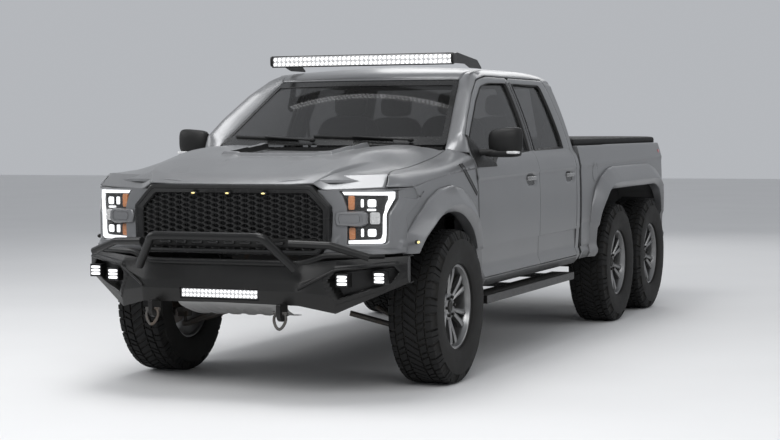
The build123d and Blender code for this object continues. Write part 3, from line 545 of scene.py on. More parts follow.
def read(line, marks, by=interp):
    """Points of a line at these marks; by works out what lies between two corners."""
    line = asarray(line, float)
    return stack([by(marks, arange(len(line)), line[:, k]) for k in range(line.shape[1])], -1)


def runs(*parts):
    """Numbers from stop to stop: parts are a stop, the steps up to the next stop, that stop, and so on."""
    sides = [linspace(a, b, n + 1)[:-1] for a, n, b in zip(parts[::2], parts[1::2], parts[2::2])]
    return concatenate(sides + [parts[-1:]])


def between(first, second, shares):
    """Grid of points from one line to another that has as many points."""
    shares = asarray(shares, float)[:, None, None]
    return first[None] * (1 - shares) + second[None] * shares


def strip(lines, shares):
    """Sheet from a first line to a last one, pulled towards a middle line, as a conic."""
    t = asarray(shares, float)[:, None, None]
    first, pull, last = lines
    return first * (1 - t) ** 2 + pull * 2 * t * (1 - t) + last * t * t


# Half-width of the cab at each height: tucked sill, full flank, shoulder, and glasshouse leaning in.
SECTION = concatenate([[(0.966, 0.53)], arc((0.992, 0.562), (1.016, 0.95), (1.008, 1.25), 24),
    arc((1.008, 1.25), (0.998, 1.318), (0.958, 1.39), 10)[1:], arc((0.958, 1.39), (0.88, 1.633),
    (0.779, 1.872), 24)[1:], arc((0.779, 1.872), (0.744, 1.928), (0.668, 1.965), 10)[1:]])
CREASE_ENDS = ((0.5, 1.24), (5.4, 1.296))
RAIL_Z = 1.41


def shoulder(d):
    """Height of the crease along the flank: a straight line that climbs to the tail."""
    (start_d, start_z), (end_d, end_z) = CREASE_ENDS
    return start_z + (d - start_d) * (end_z - start_z) / (end_d - start_d)


def flank(d, z, bed=False):
    """Half-width of the body side: the section, its shoulder moved to the crease, with a rocker ridge
    over a tucked sill and a fine step at knee height. Above the crease a bed leans less than a cab."""
    d, z = np.broadcast_arrays(asarray(d, float), asarray(z, float))
    crease = shoulder(d)
    top = 1.39
    level = where(z < 0.95, z, where(z < crease, 0.95 + (z - 0.95) * 0.3 / (crease - 0.95),
        where(z < top, 1.25 + (z - crease) * (top - 1.25) / (top - crease), z)))
    x = interp(level, SECTION[:, 1], SECTION[:, 0])
    if bed:
        lean = 1.008 - 0.03 * clip((z - crease) / (RAIL_Z - crease), 0, 1) ** 1.4
        x = where(z > crease, lean, x)
    relief = interp(z, [0.53, 0.56, 0.585, 0.603, 0.612, 0.655, 0.78, 0.7955, 0.7975, 0.83],
        [-0.004, 0, 0.014, 0.021, 0.018, -0.005, -0.011, -0.011, 0, 0])
    ridge = 0.006 * np.exp(-((z - crease) / 0.012) ** 2)
    return x + relief + ridge


def on_flank(points, bed=False):
    """Side-view points (distance, height) laid on the body side."""
    points = asarray(points, float)
    return spots(flank(points[..., 0], points[..., 1], bed), at(points[..., 0]), points[..., 1])


paint = Finish("body_paint", {"Metallic": 0.55, "Coat Weight": 0.35, "Coat Roughness": 0.16})
flake = paint.cells(1100)
cloud = paint.noise(1.7, 5)
clean_paint = paint.mix(cloud.rise(0.3, 0.7), grey(0.18, 0.02), grey(0.198, 0.02))
paint.feed({"Base Color": paint.dust(clean_paint, (0.176, 0.168, 0.156, 1), 0.45, 1, 0.35),
    "Roughness": flake * 0.08 + cloud * 0.1 + 0.3})
paint.bump(flake, 0.00005, 0.3)

trim_plastic = Finish("cabin_plastic", {}, (3, 0.03, 0.045), (40, 0.15, 0.55))
trim_plastic.bump(trim_plastic.cells(650), 0.0006, 0.7)

gloss_black = Finish("gloss_black", {"Specular IOR Level": 0.3, "Coat Weight": 0.12,
    "Coat Roughness": 0.08}, (7, 0.01, 0.016), (30, 0.12, 0.2))

glass = Finish("glass", {"Specular IOR Level": 0.4, "Coat Weight": 0.25, "Coat Roughness": 0.02},
    (2, 0.012, 0.018), (3, 0.05, 0.03, 6))
glass.feed({"Alpha": glass.noise(2.5, 4) * 0.1 + 0.46})
dress(glass, "windshield", "rear_window", "glass_front_left", "glass_front_right", "glass_rear_left",
    "glass_rear_right")


def inner_copy(name, node, finishes, body, shrink, choose):
    """Copy of a CAD panel, merged and drawn in under its new skin, its faces given finishes by
    choose(centres, normals)."""
    work = bmesh.new()
    work.from_mesh(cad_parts[node].data)
    bmesh.ops.remove_doubles(work, verts=work.verts, dist=1e-5)
    work.normal_update()
    centres = array([f.calc_center_median() for f in work.faces])
    normals = array([f.normal for f in work.faces])
    for face, mark in zip(work.faces, choose(centres, normals)):
        face.material_index = int(mark)
    pulls = [vertex.normal.copy() for vertex in work.verts]
    for vertex, pull in zip(work.verts, pulls):
        vertex.co -= pull * shrink
    mesh = bpy.data.meshes.new(name)
    work.to_mesh(mesh)
    work.free()
    piece = assemble(name, mesh, finishes, body, 25)
    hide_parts(node)
    return piece


def thicken(piece, depth, edge=0.002):
    """Gives a skin its depth, inwards from its face, and rounds the edges that this makes."""
    wall = piece.modifiers.new("wall", "SOLIDIFY")
    wall.thickness = depth
    wall.offset = -1
    wall.use_even_offset = False
    return soften(piece, edge)


def soften(piece, edge, segments=2):
    """Rounds the sharp edges of a piece."""
    if edge:
        roll = piece.modifiers.new("edges", "BEVEL")
        roll.width = edge
        roll.segments = segments
        roll.limit_method = "ANGLE"
        roll.angle_limit = math.radians(40)
        roll.harden_normals = False
    return piece


CABIN_CENTRE = array([0, at(1.6), 1.25])


def faces_cabin(centres, normals):
    """Faces that look towards the middle of the cabin are trimmed."""
    return (normals * (centres - CABIN_CENTRE)).sum(1) < -0.05


inner_copy("cab_inner", "cab_shell", [paint, trim_plastic], "root", 0.004, faces_cabin)

# Windshield surface: a bow in plan, leaning back with height.
GLASS_LEAN = 0.78 / 0.458
BOW_R = 1.719


def windshield_d(x, z):
    """Distance of the windshield's face: a circle in plan, further back the higher up."""
    return 0.262 + BOW_R - np.sqrt(BOW_R ** 2 - asarray(x) ** 2) + (z - 1.446) * GLASS_LEAN


def glass_edge(z):
    """Side edge of the windshield at a height."""
    x = 0.8 - (z - 1.47) / 0.41 * 0.145
    return spots(x, at(windshield_d(x, z)), z)


ROOF_X = 0.668
HEADER_Z = 1.886
GLASS_TOP, ROOF_BACK, REAR_WALL = 1.88, 2.7, 2.8
ROOF_S = [0, 0.02, 0.05, 0.11, 0.22, 0.45, 0.8, 1.1, 1.45, 1.7]
ROOF_ZS = [HEADER_Z, 1.902, 1.918, 1.936, 1.956, 1.981, 1.995, 2, 1.989, 1.966]


def roof(x, d):
    """Roof height: it rolls up from the windshield header, crowns, and falls towards its edges."""
    behind = d - windshield_d(x, GLASS_TOP)
    crown = curve(clip(behind, 0, 1.7), ROOF_S, ROOF_ZS)
    return crown - 0.0784 * asarray(x) ** 2 * ramp(behind, 0, 0.7)


def rear_roll(x, t):
    """Back edge of the roof turning down to the rear wall; t runs from the roof to the wall."""
    top = spots(x, at(ROOF_BACK), roof(x, ROOF_BACK))
    pull = spots(x * 1.09, at(2.795), roof(x, ROOF_BACK) - 0.006)
    low = spots(x * 0.787 / ROOF_X, at(REAR_WALL), 1.862)
    t = asarray(t)[..., None]
    return top * (1 - t) ** 2 + pull * 2 * t * (1 - t) + low * t * t


# Door apertures in side view, and beyond them the outer limit of the shell's visible frame.
APERTURE = array([(0.507, 0.591), (2.722, 0.591), (2.722, 1.441), (2.667, 1.853), (2.613, 1.913),
    (1.348, 1.913), (1.136, 1.886), (0.926, 1.791), (0.656, 1.626), (0.507, 1.513), (0.507, 1.4)])
steps = cut_marks((60, 30, 14, 8, 40, 8, 8, 10, 6, 5))
inside = on_flank(read(APERTURE, steps))
edge_d = interp(steps, [0, 1, 4], [0.507, REAR_WALL, REAR_WALL])
edge_z = interp(steps, [0, 1, 2, 3], [0.53, 0.53, 1.44, 1.862])
outside = spots(flank(edge_d, edge_z), at(edge_d), edge_z)
rear_corner = rear_roll(ROOF_X, 1 - clip(steps - 3, 0, 1))
rail_d = interp(steps, [4, 5, 6], [ROOF_BACK, 1.3, windshield_d(ROOF_X, GLASS_TOP) + 0.001])
rail = spots(ROOF_X, at(rail_d), roof(ROOF_X, rail_d))
pillar_z = interp(steps, [6, 7, 8, 9, 10], [1.88, 1.785, 1.61, 1.478, 1.405])
pillar = glass_edge(pillar_z)
stage_of = steps[:, None]
outside = where(stage_of < 3, outside, where(stage_of < 4, rear_corner, where(stage_of < 6, rail, pillar)))
pull = (inside + outside) / 2
flat = stage_of[:, 0] <= 3
pull[flat, 0] = flank(pull[flat, 1] - FRONT_AXLE, pull[flat, 2])
lift = interp(steps, [3, 4, 5, 6, 7, 9, 10], [0, 0.02, 0.02, 0.022, 0.026, 0.03, 0.01])
push = interp(steps, [3, 4, 5, 6, 7, 9, 10], [0, 0.016, 0.018, 0.026, 0.032, 0.034, 0.02])
ahead_push = interp(steps, [5, 6, 7, 10], [0, 0.014, 0.03, 0.03])
pull += spots(push, -ahead_push, lift)
cab_frame = [patch(strip((inside, pull, outside), linspace(0, 1, 9)))]

roof_x = linspace(-ROOF_X, ROOF_X, 61)[None, :]
roof_share = runs(0, 9, 0.12, 43, 1)[:, None]
header = windshield_d(roof_x, GLASS_TOP)
roof_d = header + (ROOF_BACK - header) * roof_share
roof_grid = spots(roof_x, at(roof_d), roof(roof_x, roof_d))
roll_grid = rear_roll(broadcast_to(roof_x, (9, 61)), broadcast_to(linspace(0, 1, 9)[:, None], (9, 61)))
make("cab_skin", both(cab_frame), paint, centre=CABIN_CENTRE, merge=4e-4, wall=0.009)
make("roof_skin", [patch(roof_grid), patch(roll_grid)], paint, centre=CABIN_CENTRE, merge=4e-4, wall=0.012,
    edge=0)

# ---------- doors
# Four steel doors with full frames, hung at their front edges. Each is an outer skin hemmed over an
# inner panel, with a scooped grip behind its handle, rubber run channels and a trimmed inner face.
# Outlines in side view; window corners pair with the frame's corners beyond them.
FRONT_FRAME = [(0.515, 1.312), (0.515, 1.505), (0.66, 1.618), (0.93, 1.783), (1.14, 1.878), (1.35, 1.905),
    (1.7965, 1.905), (1.7965, 1.394)]
FRONT_PANE = [(0.568, 1.312), (0.568, 1.492), (0.69, 1.576), (0.94, 1.73), (1.165, 1.836), (1.34, 1.862),
    (1.733, 1.868), (1.738, 1.394)]
REAR_FRAME = [(2.715, 1.404), (2.715, 1.44), (2.66, 1.85), (2.61, 1.905), (1.8035, 1.905), (1.8035, 1.396)]
REAR_PANE = [(2.56, 1.404), (2.56, 1.47), (2.508, 1.846), (2.48, 1.866), (1.86, 1.868), (1.856, 1.396)]
FRONT_SILL = [(0.568, 1.312), (0.9, 1.326), (1.01, 1.372), (1.738, 1.394)]
REAR_SILL = [(1.856, 1.396), (2.56, 1.404)]
HANDLE_Z = 1.194
GRIP = (0.118, 0.052)
LEVELS = [0.598, 0.603, 0.612, 0.622, 0.64, 0.655, 0.69, 0.73, 0.765, 0.785, 0.7955, 0.7975, 0.815, 0.83]
levels = concatenate([LEVELS, linspace(0.85, 1.1, 14), linspace(1.11, 1.212, 14)])


def scoop(d, z, handle_d):
    """Depth of the finger scoop: flat-bottomed, round-ended, deepest behind the handle."""
    reach = (abs((d - handle_d) / GRIP[0]) ** 3 + abs((z - HANDLE_Z) / GRIP[1]) ** 3) ** (1 / 3)
    return 0.011 * (1 - ramp(reach, 0.72, 1))


def door_skin(frame_line, pane_line, sill, columns, handle_d):
    """Door outer: a lower sheet from the bottom edge up to the window's sill line, and a frame strip
    round the pane that starts and ends on the sheet's top row."""
    columns = asarray(columns)
    top = interp(columns, *array(sill).T)
    crease = shoulder(columns)
    fixed = broadcast_to(levels[:, None], (len(levels), len(columns)))
    to_crease = between(np.full_like(columns, levels[-1])[:, None], crease[:, None], [0.35, 0.7, 0.92, 1])
    to_sill = between(crease[:, None], top[:, None], [0.08, 0.25, 0.5, 0.75, 0.92, 1])
    z = concatenate([fixed, to_crease[..., 0], to_sill[..., 0]])
    d = broadcast_to(columns, z.shape)
    lower = on_flank(spots(d, z))
    sunk = scoop(d, z, handle_d)
    lower[..., 0] -= sunk
    # The deep floor of the finger scoop is given gloss black: painted shade in the recess behind the
    # handle.
    shaded_scoop = (sunk[1:, 1:] + sunk[:-1, :-1] > 0.02).ravel().astype(int)
    pane = rounded(pane_line, 0.035)
    rim = rounded(frame_line, 0.045)
    frame_grid = on_flank(between(pane, rim, linspace(0, 1, 5)))
    frame_grid[0, :, 0] -= 0.003
    middle_of = (frame_grid[1:, 1:] + frame_grid[:-1, :-1]) / 2
    post = (abs(middle_of[..., 1] - at(1.799)) < 0.07) & (middle_of[..., 2] < 1.872)
    post = post.ravel().astype(int)
    return [patch(lower, finish=shaded_scoop), patch(frame_grid, finish=post)], pane


def seal_strip(pane, sill, width=0.014):
    """Rubber channel round the pane: a lip on the frame, a wall inwards, and a lip on the glass."""
    loop = concatenate([pane, array(sill)[::-1][1:-1]])
    centre = loop.mean(0)
    inward = unit(centre - loop)
    lines = []
    for shift, sink in ((-0.004, -0.001), (0.002, -0.0025), (0.005, 0.004), (width, 0.01), (width, 0.017)):
        line = on_flank(loop + inward * shift)
        line[:, 0] -= sink
        lines.append(line)
    return [hoop(stack(lines))]


def squared(turn, power):
    """Cosine and sine of angles, raised to a power that pushes a circle out towards a square."""
    c, s = cos(turn), sin(turn)
    return sign(c) * abs(c) ** (2 / power), sign(s) * abs(s) ** (2 / power)


def pillow(centre, half, power=3.5, count=(20, 36), finish=0):
    """Rounded box: each direction from its centre is carried out to where the powers of its
    coordinates over the half sizes add up to one."""
    up = linspace(-HALF_TURN / 2, HALF_TURN / 2, count[0])[:, None]
    round_way = circle(count[1])[None, :]
    way = spots(cos(up) * cos(round_way), cos(up) * sin(round_way), sin(up))
    way = sign(way) * abs(way) ** (2 / power * 0.5 + 0.5)
    reach = (abs(way) ** power).sum(-1, keepdims=True) ** (-1 / power)
    return hoop(array(centre) + way * reach * array(half), finish)


def swept(path, width, height, finish=0, count=16, power=2.6):
    """Rounded section carried along a path, its width across the truck's flank and its height up."""
    path = asarray(path, float)
    width = broadcast_to(width, len(path))[:, None, None]
    height = broadcast_to(height, len(path))[:, None, None]
    way = unit(np.gradient(path, axis=0))
    beside = unit(np.cross(way, [0, 0, 1]))
    above_way = np.cross(beside, way)
    c, s = squared(circle(count), power)
    grid = (path[:, None] + beside[:, None] * c[None, :, None] * width
        + above_way[:, None] * s[None, :, None] * height)
    return [hoop(grid, finish), facet(grid[0], finish), facet(grid[-1], finish)]


front_columns = runs(0.515, 4, 0.568, 70, 1.738, 4, 1.7965)
rear_columns = runs(1.8035, 4, 1.856, 44, 2.56, 4, 2.715)
DOORS = (("front", FRONT_FRAME, FRONT_PANE, FRONT_SILL, front_columns, 1.62),
    ("rear", REAR_FRAME, REAR_PANE, REAR_SILL, rear_columns, 2.555),)
handle_metal = Finish("door_handle", {"Metallic": 0.5, "Coat Weight": 0.4, "Coat Roughness": 0.1},
    (9, 0.19, 0.25), (80, 0.12, 0.22))


def faces_in(centres, normals):
    """Faces that look across the truck towards its middle are trimmed."""
    return normals[:, 0] * sign(centres[:, 0]) < -0.5


for row, frame_line, pane_line, sill, columns, handle_d in DOORS:
    skin, pane = door_skin(frame_line, pane_line, sill, columns, handle_d)
    seal = seal_strip(pane, sill)
    bar_d = linspace(handle_d - 0.1, handle_d + 0.1, 15)
    bar_x = flank(bar_d, HANDLE_Z) + 0.007 - 0.011 * (abs(bar_d - handle_d) / 0.1) ** 4
    bar = swept(spots(bar_x, at(bar_d), HANDLE_Z + 0.012), 0.0085, 0.015)
    for side, hand in SIDES:
        body = f"{row}_{hand}_door"
        flip = (side, 1, 1)
        make(f"door_skin_{row}_{hand}", moved(skin, flip=flip), [paint, gloss_black], body,
            centre=CABIN_CENTRE, merge=4e-4, wall=0.008)
        inner_copy(f"door_inner_{row}_{hand}", f"door_{row}_{hand}", [paint, trim_plastic], body, 0.017,
            faces_in)
        make(f"door_seal_{row}_{hand}", moved(seal, flip=flip), moulded, body, centre=CABIN_CENTRE,
            merge=1e-4)
        make(f"door_handle_{row}_{hand}", moved(bar, flip=flip), handle_metal, body,
            closed=True)

# ---------- mirrors
# Moulded black housings on a short arm from a sail in the corner of each front window. A clear lamp
# strip runs along the foot of the housing and a flat glass faces back.
MIRROR_X, MIRROR_D, MIRROR_Z = 1.13, 0.69, 1.474
mirror_glass = Finish("mirror_glass", {"Metallic": 1, "Coat Weight": 0.3}, (4, 0.55, 0.62), (9, 0.04, 0.03))
lamp_clear = Finish("lamp_clear", {"Specular IOR Level": 0.7, "Coat Weight": 0.8, "Coat Roughness": 0.03},
    (60, 0.55, 0.72), (20, 0.1, 0.12))
lamp_clear.bump((lamp_clear.axis("Z") * 1600).wave(), 0.0008, 0.6)

MIRROR_AT, MIRROR_HALF = (MIRROR_X, at(MIRROR_D), MIRROR_Z), (0.114, 0.054, 0.082)
housing = pillow(MIRROR_AT, MIRROR_HALF, 4.5, (26, 44))
shaped = housing[0].copy()
rel = (shaped - MIRROR_AT) / MIRROR_HALF
shaped[:, 1] = where(rel[:, 1] > 0.35, at(MIRROR_D) + 0.052 * 0.35 + (rel[:, 1] - 0.35) * 0.02, shaped[:, 1]
    + 0.03 * rel[:, 0] ** 2 * (rel[:, 1] < 0) + 0.012 * rel[:, 2] ** 2)
shaped[:, 2] += 0.01 * rel[:, 0] * (rel[:, 2] > 0)
housing = (shaped, housing[1], 0)
foot = pillow((1.114, at(0.69), 1.392), (0.122, 0.048, 0.024), 3.4, (14, 36))
ARM_PATH = [(0.97, at(0.668), 1.402), (1, at(0.672), 1.402), (1.035, at(0.676), 1.402),
    (1.075, at(0.682), 1.402)]
arm = swept(ARM_PATH, [0.04, 0.036, 0.034, 0.034], [0.024, 0.021, 0.019, 0.018])
lamp = pillow((1.193, at(0.662), 1.399), (0.042, 0.034, 0.0105), 4, (10, 28))
glass_y = at(MIRROR_D) + 0.031
c, s = squared(circle(40), 4)
rim_line = spots(MIRROR_X + 0.086 * c, glass_y, MIRROR_Z + 0.062 * s)
mirror_face = [hoop(between(rim_line, rim_line * 0 + [MIRROR_X, glass_y, MIRROR_Z], [0, 0.5, 1]))]
sail_outer = rounded(array([(0.524, 1.3), (0.524, 1.522), (0.69, 1.428), (0.9, 1.33), (0.905, 1.318)]),
    0.02)
sail_lower = spots(linspace(0.524, 0.905, len(sail_outer)), 1.306)
sail_grid = on_flank(between(sail_lower, sail_outer, linspace(0, 1, 6)))
sail_grid[..., 0] += 0.004
for side, hand in SIDES:
    flip = (side, 1, 1)
    body = f"front_{hand}_door"
    shell = make(f"mirror_housing_{hand}", moved([housing, foot] + arm, flip=flip), moulded, body,
        closed=True)
    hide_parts(f"mirror_{hand}")
    make(f"mirror_face_{hand}", moved(mirror_face, flip=flip), mirror_glass, body,
        centre=(0.2, 1.4))
    make(f"mirror_lamp_{hand}", moved([lamp], flip=flip), lamp_clear, body, closed=True)
    make(f"mirror_sail_{hand}", moved([patch(sail_grid)], flip=flip), moulded, body, centre=CABIN_CENTRE,
        wall=0.006)

# ---------- windshield trim and wipers
# The bonded windshield has a black printed border; below it a moulded cowl with slots carries two
# wiper arms with rubber blades.
dress(moulded, "cowl")


def on_glass(x, z, out):
    """Points on the windshield's outer face, standing off it by out."""
    x, z = np.broadcast_arrays(asarray(x, float), asarray(z, float))
    lean = math.hypot(1, GLASS_LEAN)
    return spots(x, at(windshield_d(x, z)) - out / lean, z + out * GLASS_LEAN / lean)


border_z = concatenate([linspace(1.455, 1.872, 40), np.full(40, 1.872), linspace(1.872, 1.455, 40)])
border_out = array([glass_edge(z)[0] for z in border_z[:40]])
border_x = concatenate([border_out, linspace(border_out[-1], -border_out[-1], 40), -border_out[::-1]])
frit_lines, mark = [], arange(120)
for inward, rise in ((0, 0.001), (0, 0.0045), (0.03, 0.0045), (0.031, 0.003)):
    x = border_x - sign(border_x) * inward * ((mark < 40) | (mark >= 80))
    frit_lines.append(on_glass(x, border_z - inward * ((mark >= 39) & (mark <= 80)), rise))
foot_x = linspace(-0.8, 0.8, 81)
foot_band = [on_glass(foot_x, z, 0.004) for z in (1.448, 1.5)]
make("windshield_border", [patch(stack(frit_lines)), patch(stack(foot_band))], gloss_black,
    centre=(1.6, 1.3), smooth=20)
cowl_x = linspace(-0.78, 0.78, 157)[None, :]
cowl_s = linspace(0, 1, 14)[:, None]
cowl_d = 0.253 + (cowl_x / 0.8) ** 2 * 0.2 - 0.04 * (1 - cowl_s)
cowl_slot = 0.006 * (sin(cowl_x * TURN / 0.024) > 0.2) * (abs(cowl_s - 0.5) < 0.3)
make("cowl_grid", [patch(spots(cowl_x, at(cowl_d), 1.441 - cowl_slot))], moulded, centre=(0.3, 1.2),
    smooth=20)
wiper_pieces = []
for pivot, tip in ((0.5, -0.06), (-0.14, -0.7)):
    blade_x = linspace(pivot - 0.02, tip, 25)
    blade = on_glass(blade_x, 1.478 + 0.02 * linspace(0, 1, 25), 0.012)
    wiper_pieces += swept(blade, 0.005, 0.009, count=10)
    arm_x = linspace(pivot + 0.1, (pivot + tip) / 2, 15)
    arm_line = on_glass(arm_x, 1.462 + 0.022 * linspace(0, 1, 15), 0.026)
    wiper_pieces += swept(arm_line, 0.009, 0.006, count=10)
    wiper_pieces.append(pillow(arm_line[0], (0.02, 0.018, 0.014), 2.4, (10, 20)))
make("wipers", wiper_pieces, moulded, closed=True)

# ---------- cabin trim
# Moulded dashboard with a hooded dial panel, a screen and round vents, a console between the seats,
# armrests on the doors, and looped carpet on the floor.
carpet = Finish("carpet", {"Specular IOR Level": 0.2}, (220, 0.014, 0.04, 4), (60, 0.1, 0.85))
carpet.bump(carpet.cells(420), 0.002, 0.9)
dress(carpet, "cab_floor")
DASH = [(0.48, 1), (0.478, 1.388), (0.56, 1.402), (0.8, 1.364), (0.852, 1.3), (0.846, 1.235), (0.8, 1.12),
    (0.762, 1.004), (0.7, 1)]
dash_line = rounded(DASH, [0.01, 0.03, 0.05, 0.04, 0.03, 0.04, 0.02], bend=6, run=5)
dash_x = linspace(-0.77, 0.77, 125)[:, None]
d, z = dash_line[None, :, 0], dash_line[None, :, 1]
cluster = np.exp(-((dash_x - 0.4) / 0.15) ** 4) * ramp(z, 1.24, 1.36)
screen = (ramp(0.135 - abs(dash_x), 0, 0.006) * ramp(z, 1.185, 1.191) * (1 - ramp(z, 1.335, 1.341))
    * (d > 0.7))
vents = sum(ramp(0.044 - hypot(dash_x - x, z - 1.275), 0, 0.005) for x in (-0.66, -0.24, 0.2,
    0.66)) * (d > 0.7)
dash_d = at(d + 0.03 * cluster - 0.01 * screen - 0.012 * vents)
dash_z = z + 0.045 * cluster + 0 * dash_x
dash_grid = spots(dash_x, dash_d, dash_z)
screen_mid = (screen[1:, 1:] + screen[:-1, :-1]) / 2 > 0.6
screen_marks = broadcast_to(screen_mid, (124, len(dash_line) - 1)).ravel().astype(int)
dash_patches = [patch(dash_grid, finish=screen_marks), facet(dash_grid[0]), facet(dash_grid[-1])]
dash = make("dash_skin", dash_patches, [trim_plastic, gloss_black], centre=(0.65, 1.18), merge=1e-5,
    smooth=30)
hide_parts("dashboard")
console = [pillow((0, at(1.13), 0.93), (0.15, 0.37, 0.085), 7, (24, 48)), pillow((0, at(1.38), 1.01),
    (0.125, 0.13, 0.03), 4.5, (16, 40))]
console += swept([(0.02, at(0.93), 1), (0.022, at(0.935), 1.05), (0.024, at(0.942), 1.095)], 0.01, 0.01,
    power=2)
console.append(pillow((0.024, at(0.946), 1.11), (0.022, 0.026, 0.03), 2.6, (12, 24)))
make("console", console, trim_plastic, closed=True)
for side, hand in SIDES:
    for row, middle_d in (("front", 1.25), ("rear", 2.22)):
        half = 0.29 if row == "front" else 0.25
        rest = pillow((side * 0.918, at(middle_d), 1.065), (0.04, half, 0.032), 4, (16, 48))
        pull = swept([(side * 0.895, at(middle_d - half * 0.9), 1.085), (side * 0.88, at(middle_d - half),
            1.15), (side * 0.885, at(middle_d - half * 1.04), 1.22)], 0.012, 0.018)
        make(f"armrest_{row}_{hand}", [rest] + pull, trim_plastic, f"{row}_{hand}_door", closed=True)

# Steering wheel: a padded ring on three spokes over an airbag hub, on a column from the dash.
WHEEL_AT, WHEEL_R = array([0.4, at(0.95), 1.23]), 0.185
wheel_axis = array([0, 0.92, 0.39]) / math.hypot(0.92, 0.39)
across = array([1, 0, 0])
upward = np.cross(wheel_axis, across)
upward = upward * sign(upward[2])


def in_wheel(x, up, out):
    """Points in the wheel's own axes: across, up its face, and towards the driver."""
    x, up, out = (asarray(v, float)[..., None] for v in np.broadcast_arrays(x, up, out))
    return WHEEL_AT + across * x + upward * up + wheel_axis * out


ring_turn = circle(96)[:, None]
tube_turn = circle(16)[None, :]
grip = 0.015 + 0.0012 * (abs(sin(ring_turn)) < 0.35) * (abs(tube_turn - HALF_TURN) < 1.5)
ring_r = WHEEL_R + grip * cos(tube_turn)
wheel_ring = patch(in_wheel(ring_r * cos(ring_turn), ring_r * sin(ring_turn), grip * sin(tube_turn)), True,
    True)
hub_turn = circle(40)
hub_lines = [in_wheel(r * cos(hub_turn) * 1.12, r * sin(hub_turn) * 0.95, np.full(40, out))
    for r, out in ((0.03, -0.055), (0.045, -0.03), (0.06, -0.018), (0.062, -0.006), (0.052, 0.002),
    (0.03, 0.005), (0, 0.006))]
wheel_parts = [wheel_ring, hoop(stack(hub_lines))]
for turn in (0, HALF_TURN, -HALF_TURN / 2):
    c, s = math.cos(turn), math.sin(turn)
    spoke_path = in_wheel(linspace(0.045, WHEEL_R, 9) * c, linspace(0.045, WHEEL_R, 9) * s,
        linspace(-0.016, 0, 9))
    wheel_parts += swept(spoke_path + [0, 1e-6, 0], 0.013, 0.008, count=12)
column_path = in_wheel(np.zeros(5), np.zeros(5), linspace(-0.05, -0.15, 5))
wheel_parts += swept(column_path, 0.03, 0.034, count=16)
wheel = make("steering_ring", wheel_parts, trim_plastic, "steering_wheel", closed=True, merge=1e-6)
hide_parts("steering_wheel")

# ---------- seats
# Foam cushions in woven cloth with raised side bolsters, sewn channels and piped edges: two bucket
# seats in front and a bench behind, their head rests on steel posts.
seat_cloth = Finish("seat_cloth", {"Specular IOR Level": 0.25, "Sheen Weight": 0.3}, (8, 0.03, 0.06, 5),
    (30, 0.1, 0.78))
threads = (seat_cloth.axis("X") * 2400).wave() * (seat_cloth.axis("Z") * 2400).wave()
seat_cloth.bump(threads, 0.0008, 0.8)


def cushion(centre, half, lean, face, bolster, channels, count=(40, 72)):
    """Padded form: a rounded box whose working face swells to a crown, rises into bolsters past
    two thirds of its width, and sinks along sewn channels. face is 2 for a seat and 1 for a back;
    lean turns it about the X axis."""
    half = array(half)
    shape = pillow((0, 0, 0), (1, 1, 1), 4.2, count)
    rel = shape[0]
    faces = shape[1]
    front = ramp(rel[:, face] * (1 if face == 2 else -1), 0.35, 0.95)
    along_face = rel[:, 3 - face]
    wide = abs(rel[:, 0])
    crown = 0.16 * (1 - rel[:, 0] ** 2) * (1 - along_face ** 2)
    swell = crown + bolster * ramp(wide, 0.58, 0.8) * (1 - ramp(wide, 0.9, 1))
    seam = np.exp(-((wide - 0.6) / 0.022) ** 2) + sum(np.exp(-((along_face - place) / 0.03) ** 2)
        * (wide < 0.6) for place in channels)
    push = front * (swell - 0.24 * minimum(seam, 1.2))
    pinch = 1 - 0.035 * ramp(abs(rel[:, 3 - face]), 0.5, 1) * abs(rel[:, face])
    points = rel * half * spots(pinch, pinch * 0 + 1, pinch * 0 + 1)
    points[:, face] += push * half[face] * (1 if face == 2 else -1)
    c, s = math.cos(lean), math.sin(lean)
    turned_y = points[:, 1] * c + points[:, 2] * s
    turned_z = points[:, 2] * c - points[:, 1] * s
    return spots(points[:, 0], turned_y, turned_z) + array(centre), faces, 0


def seat_piece(name, form):
    piece = make(name, [form], seat_cloth, closed=True, smooth=60)
    return piece


FOLD, BACK_FOLD = (-0.45, 0, 0.45), (-0.55, -0.15, 0.25, 0.62)
posts = []


def head_rest(name, x, d, post_d):
    """Head rest on two steel posts that lean back."""
    form = cushion((x, at(d), 1.728), (0.122, 0.042, 0.08), 0.12, 1, 0, ())
    for step in (-0.045, 0.045):
        ends = [(x + step, at(post_d), 1.6), (x + step, at(post_d + 0.01), 1.69)]
        posts.extend(swept(ends, 0.006, 0.006, power=2))
    return seat_piece(name, form)


for side, hand in SIDES:
    x = side * 0.4
    seat_piece(f"seat_cushion_{hand}", cushion((x, at(1.362), 0.998),
        (0.246, 0.268, 0.064), -0.06, 2, 0.42, FOLD))
    seat_piece(f"seat_back_{hand}", cushion((x, at(1.668), 1.33), (0.244, 0.06, 0.318),
        0.15, 1, 0.55, BACK_FOLD))
    head_rest(f"head_rest_{hand}", x, 1.735, 1.722)
    posts.append(pillow((x, at(1.42), 0.83), (0.195, 0.215, 0.1), 6, (20, 40), 1))
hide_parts("front_seats")
for place, x, half in (("left", 0.43, 0.238), ("middle", 0, 0.186), ("right", -0.43, 0.238)):
    seat_piece(f"bench_cushion_{place}", cushion((x, at(2.3), 0.998), (half, 0.256, 0.062),
        -0.05, 2, 0.25, FOLD))
    seat_piece(f"bench_back_{place}", cushion((x, at(2.612), 1.33), (half, 0.058, 0.314),
        0.15, 1, 0.3, BACK_FOLD))
    if place != "middle":
        head_rest(f"bench_head_rest_{place}", x, 2.682, 2.668)
        posts.append(pillow((x, at(2.25), 0.9), (0.2, 0.13, 0.045), 6, (16, 32), 1))
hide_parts("rear_seat")
make("seat_frames", posts, [exhaust_steel, trim_plastic], closed=True)
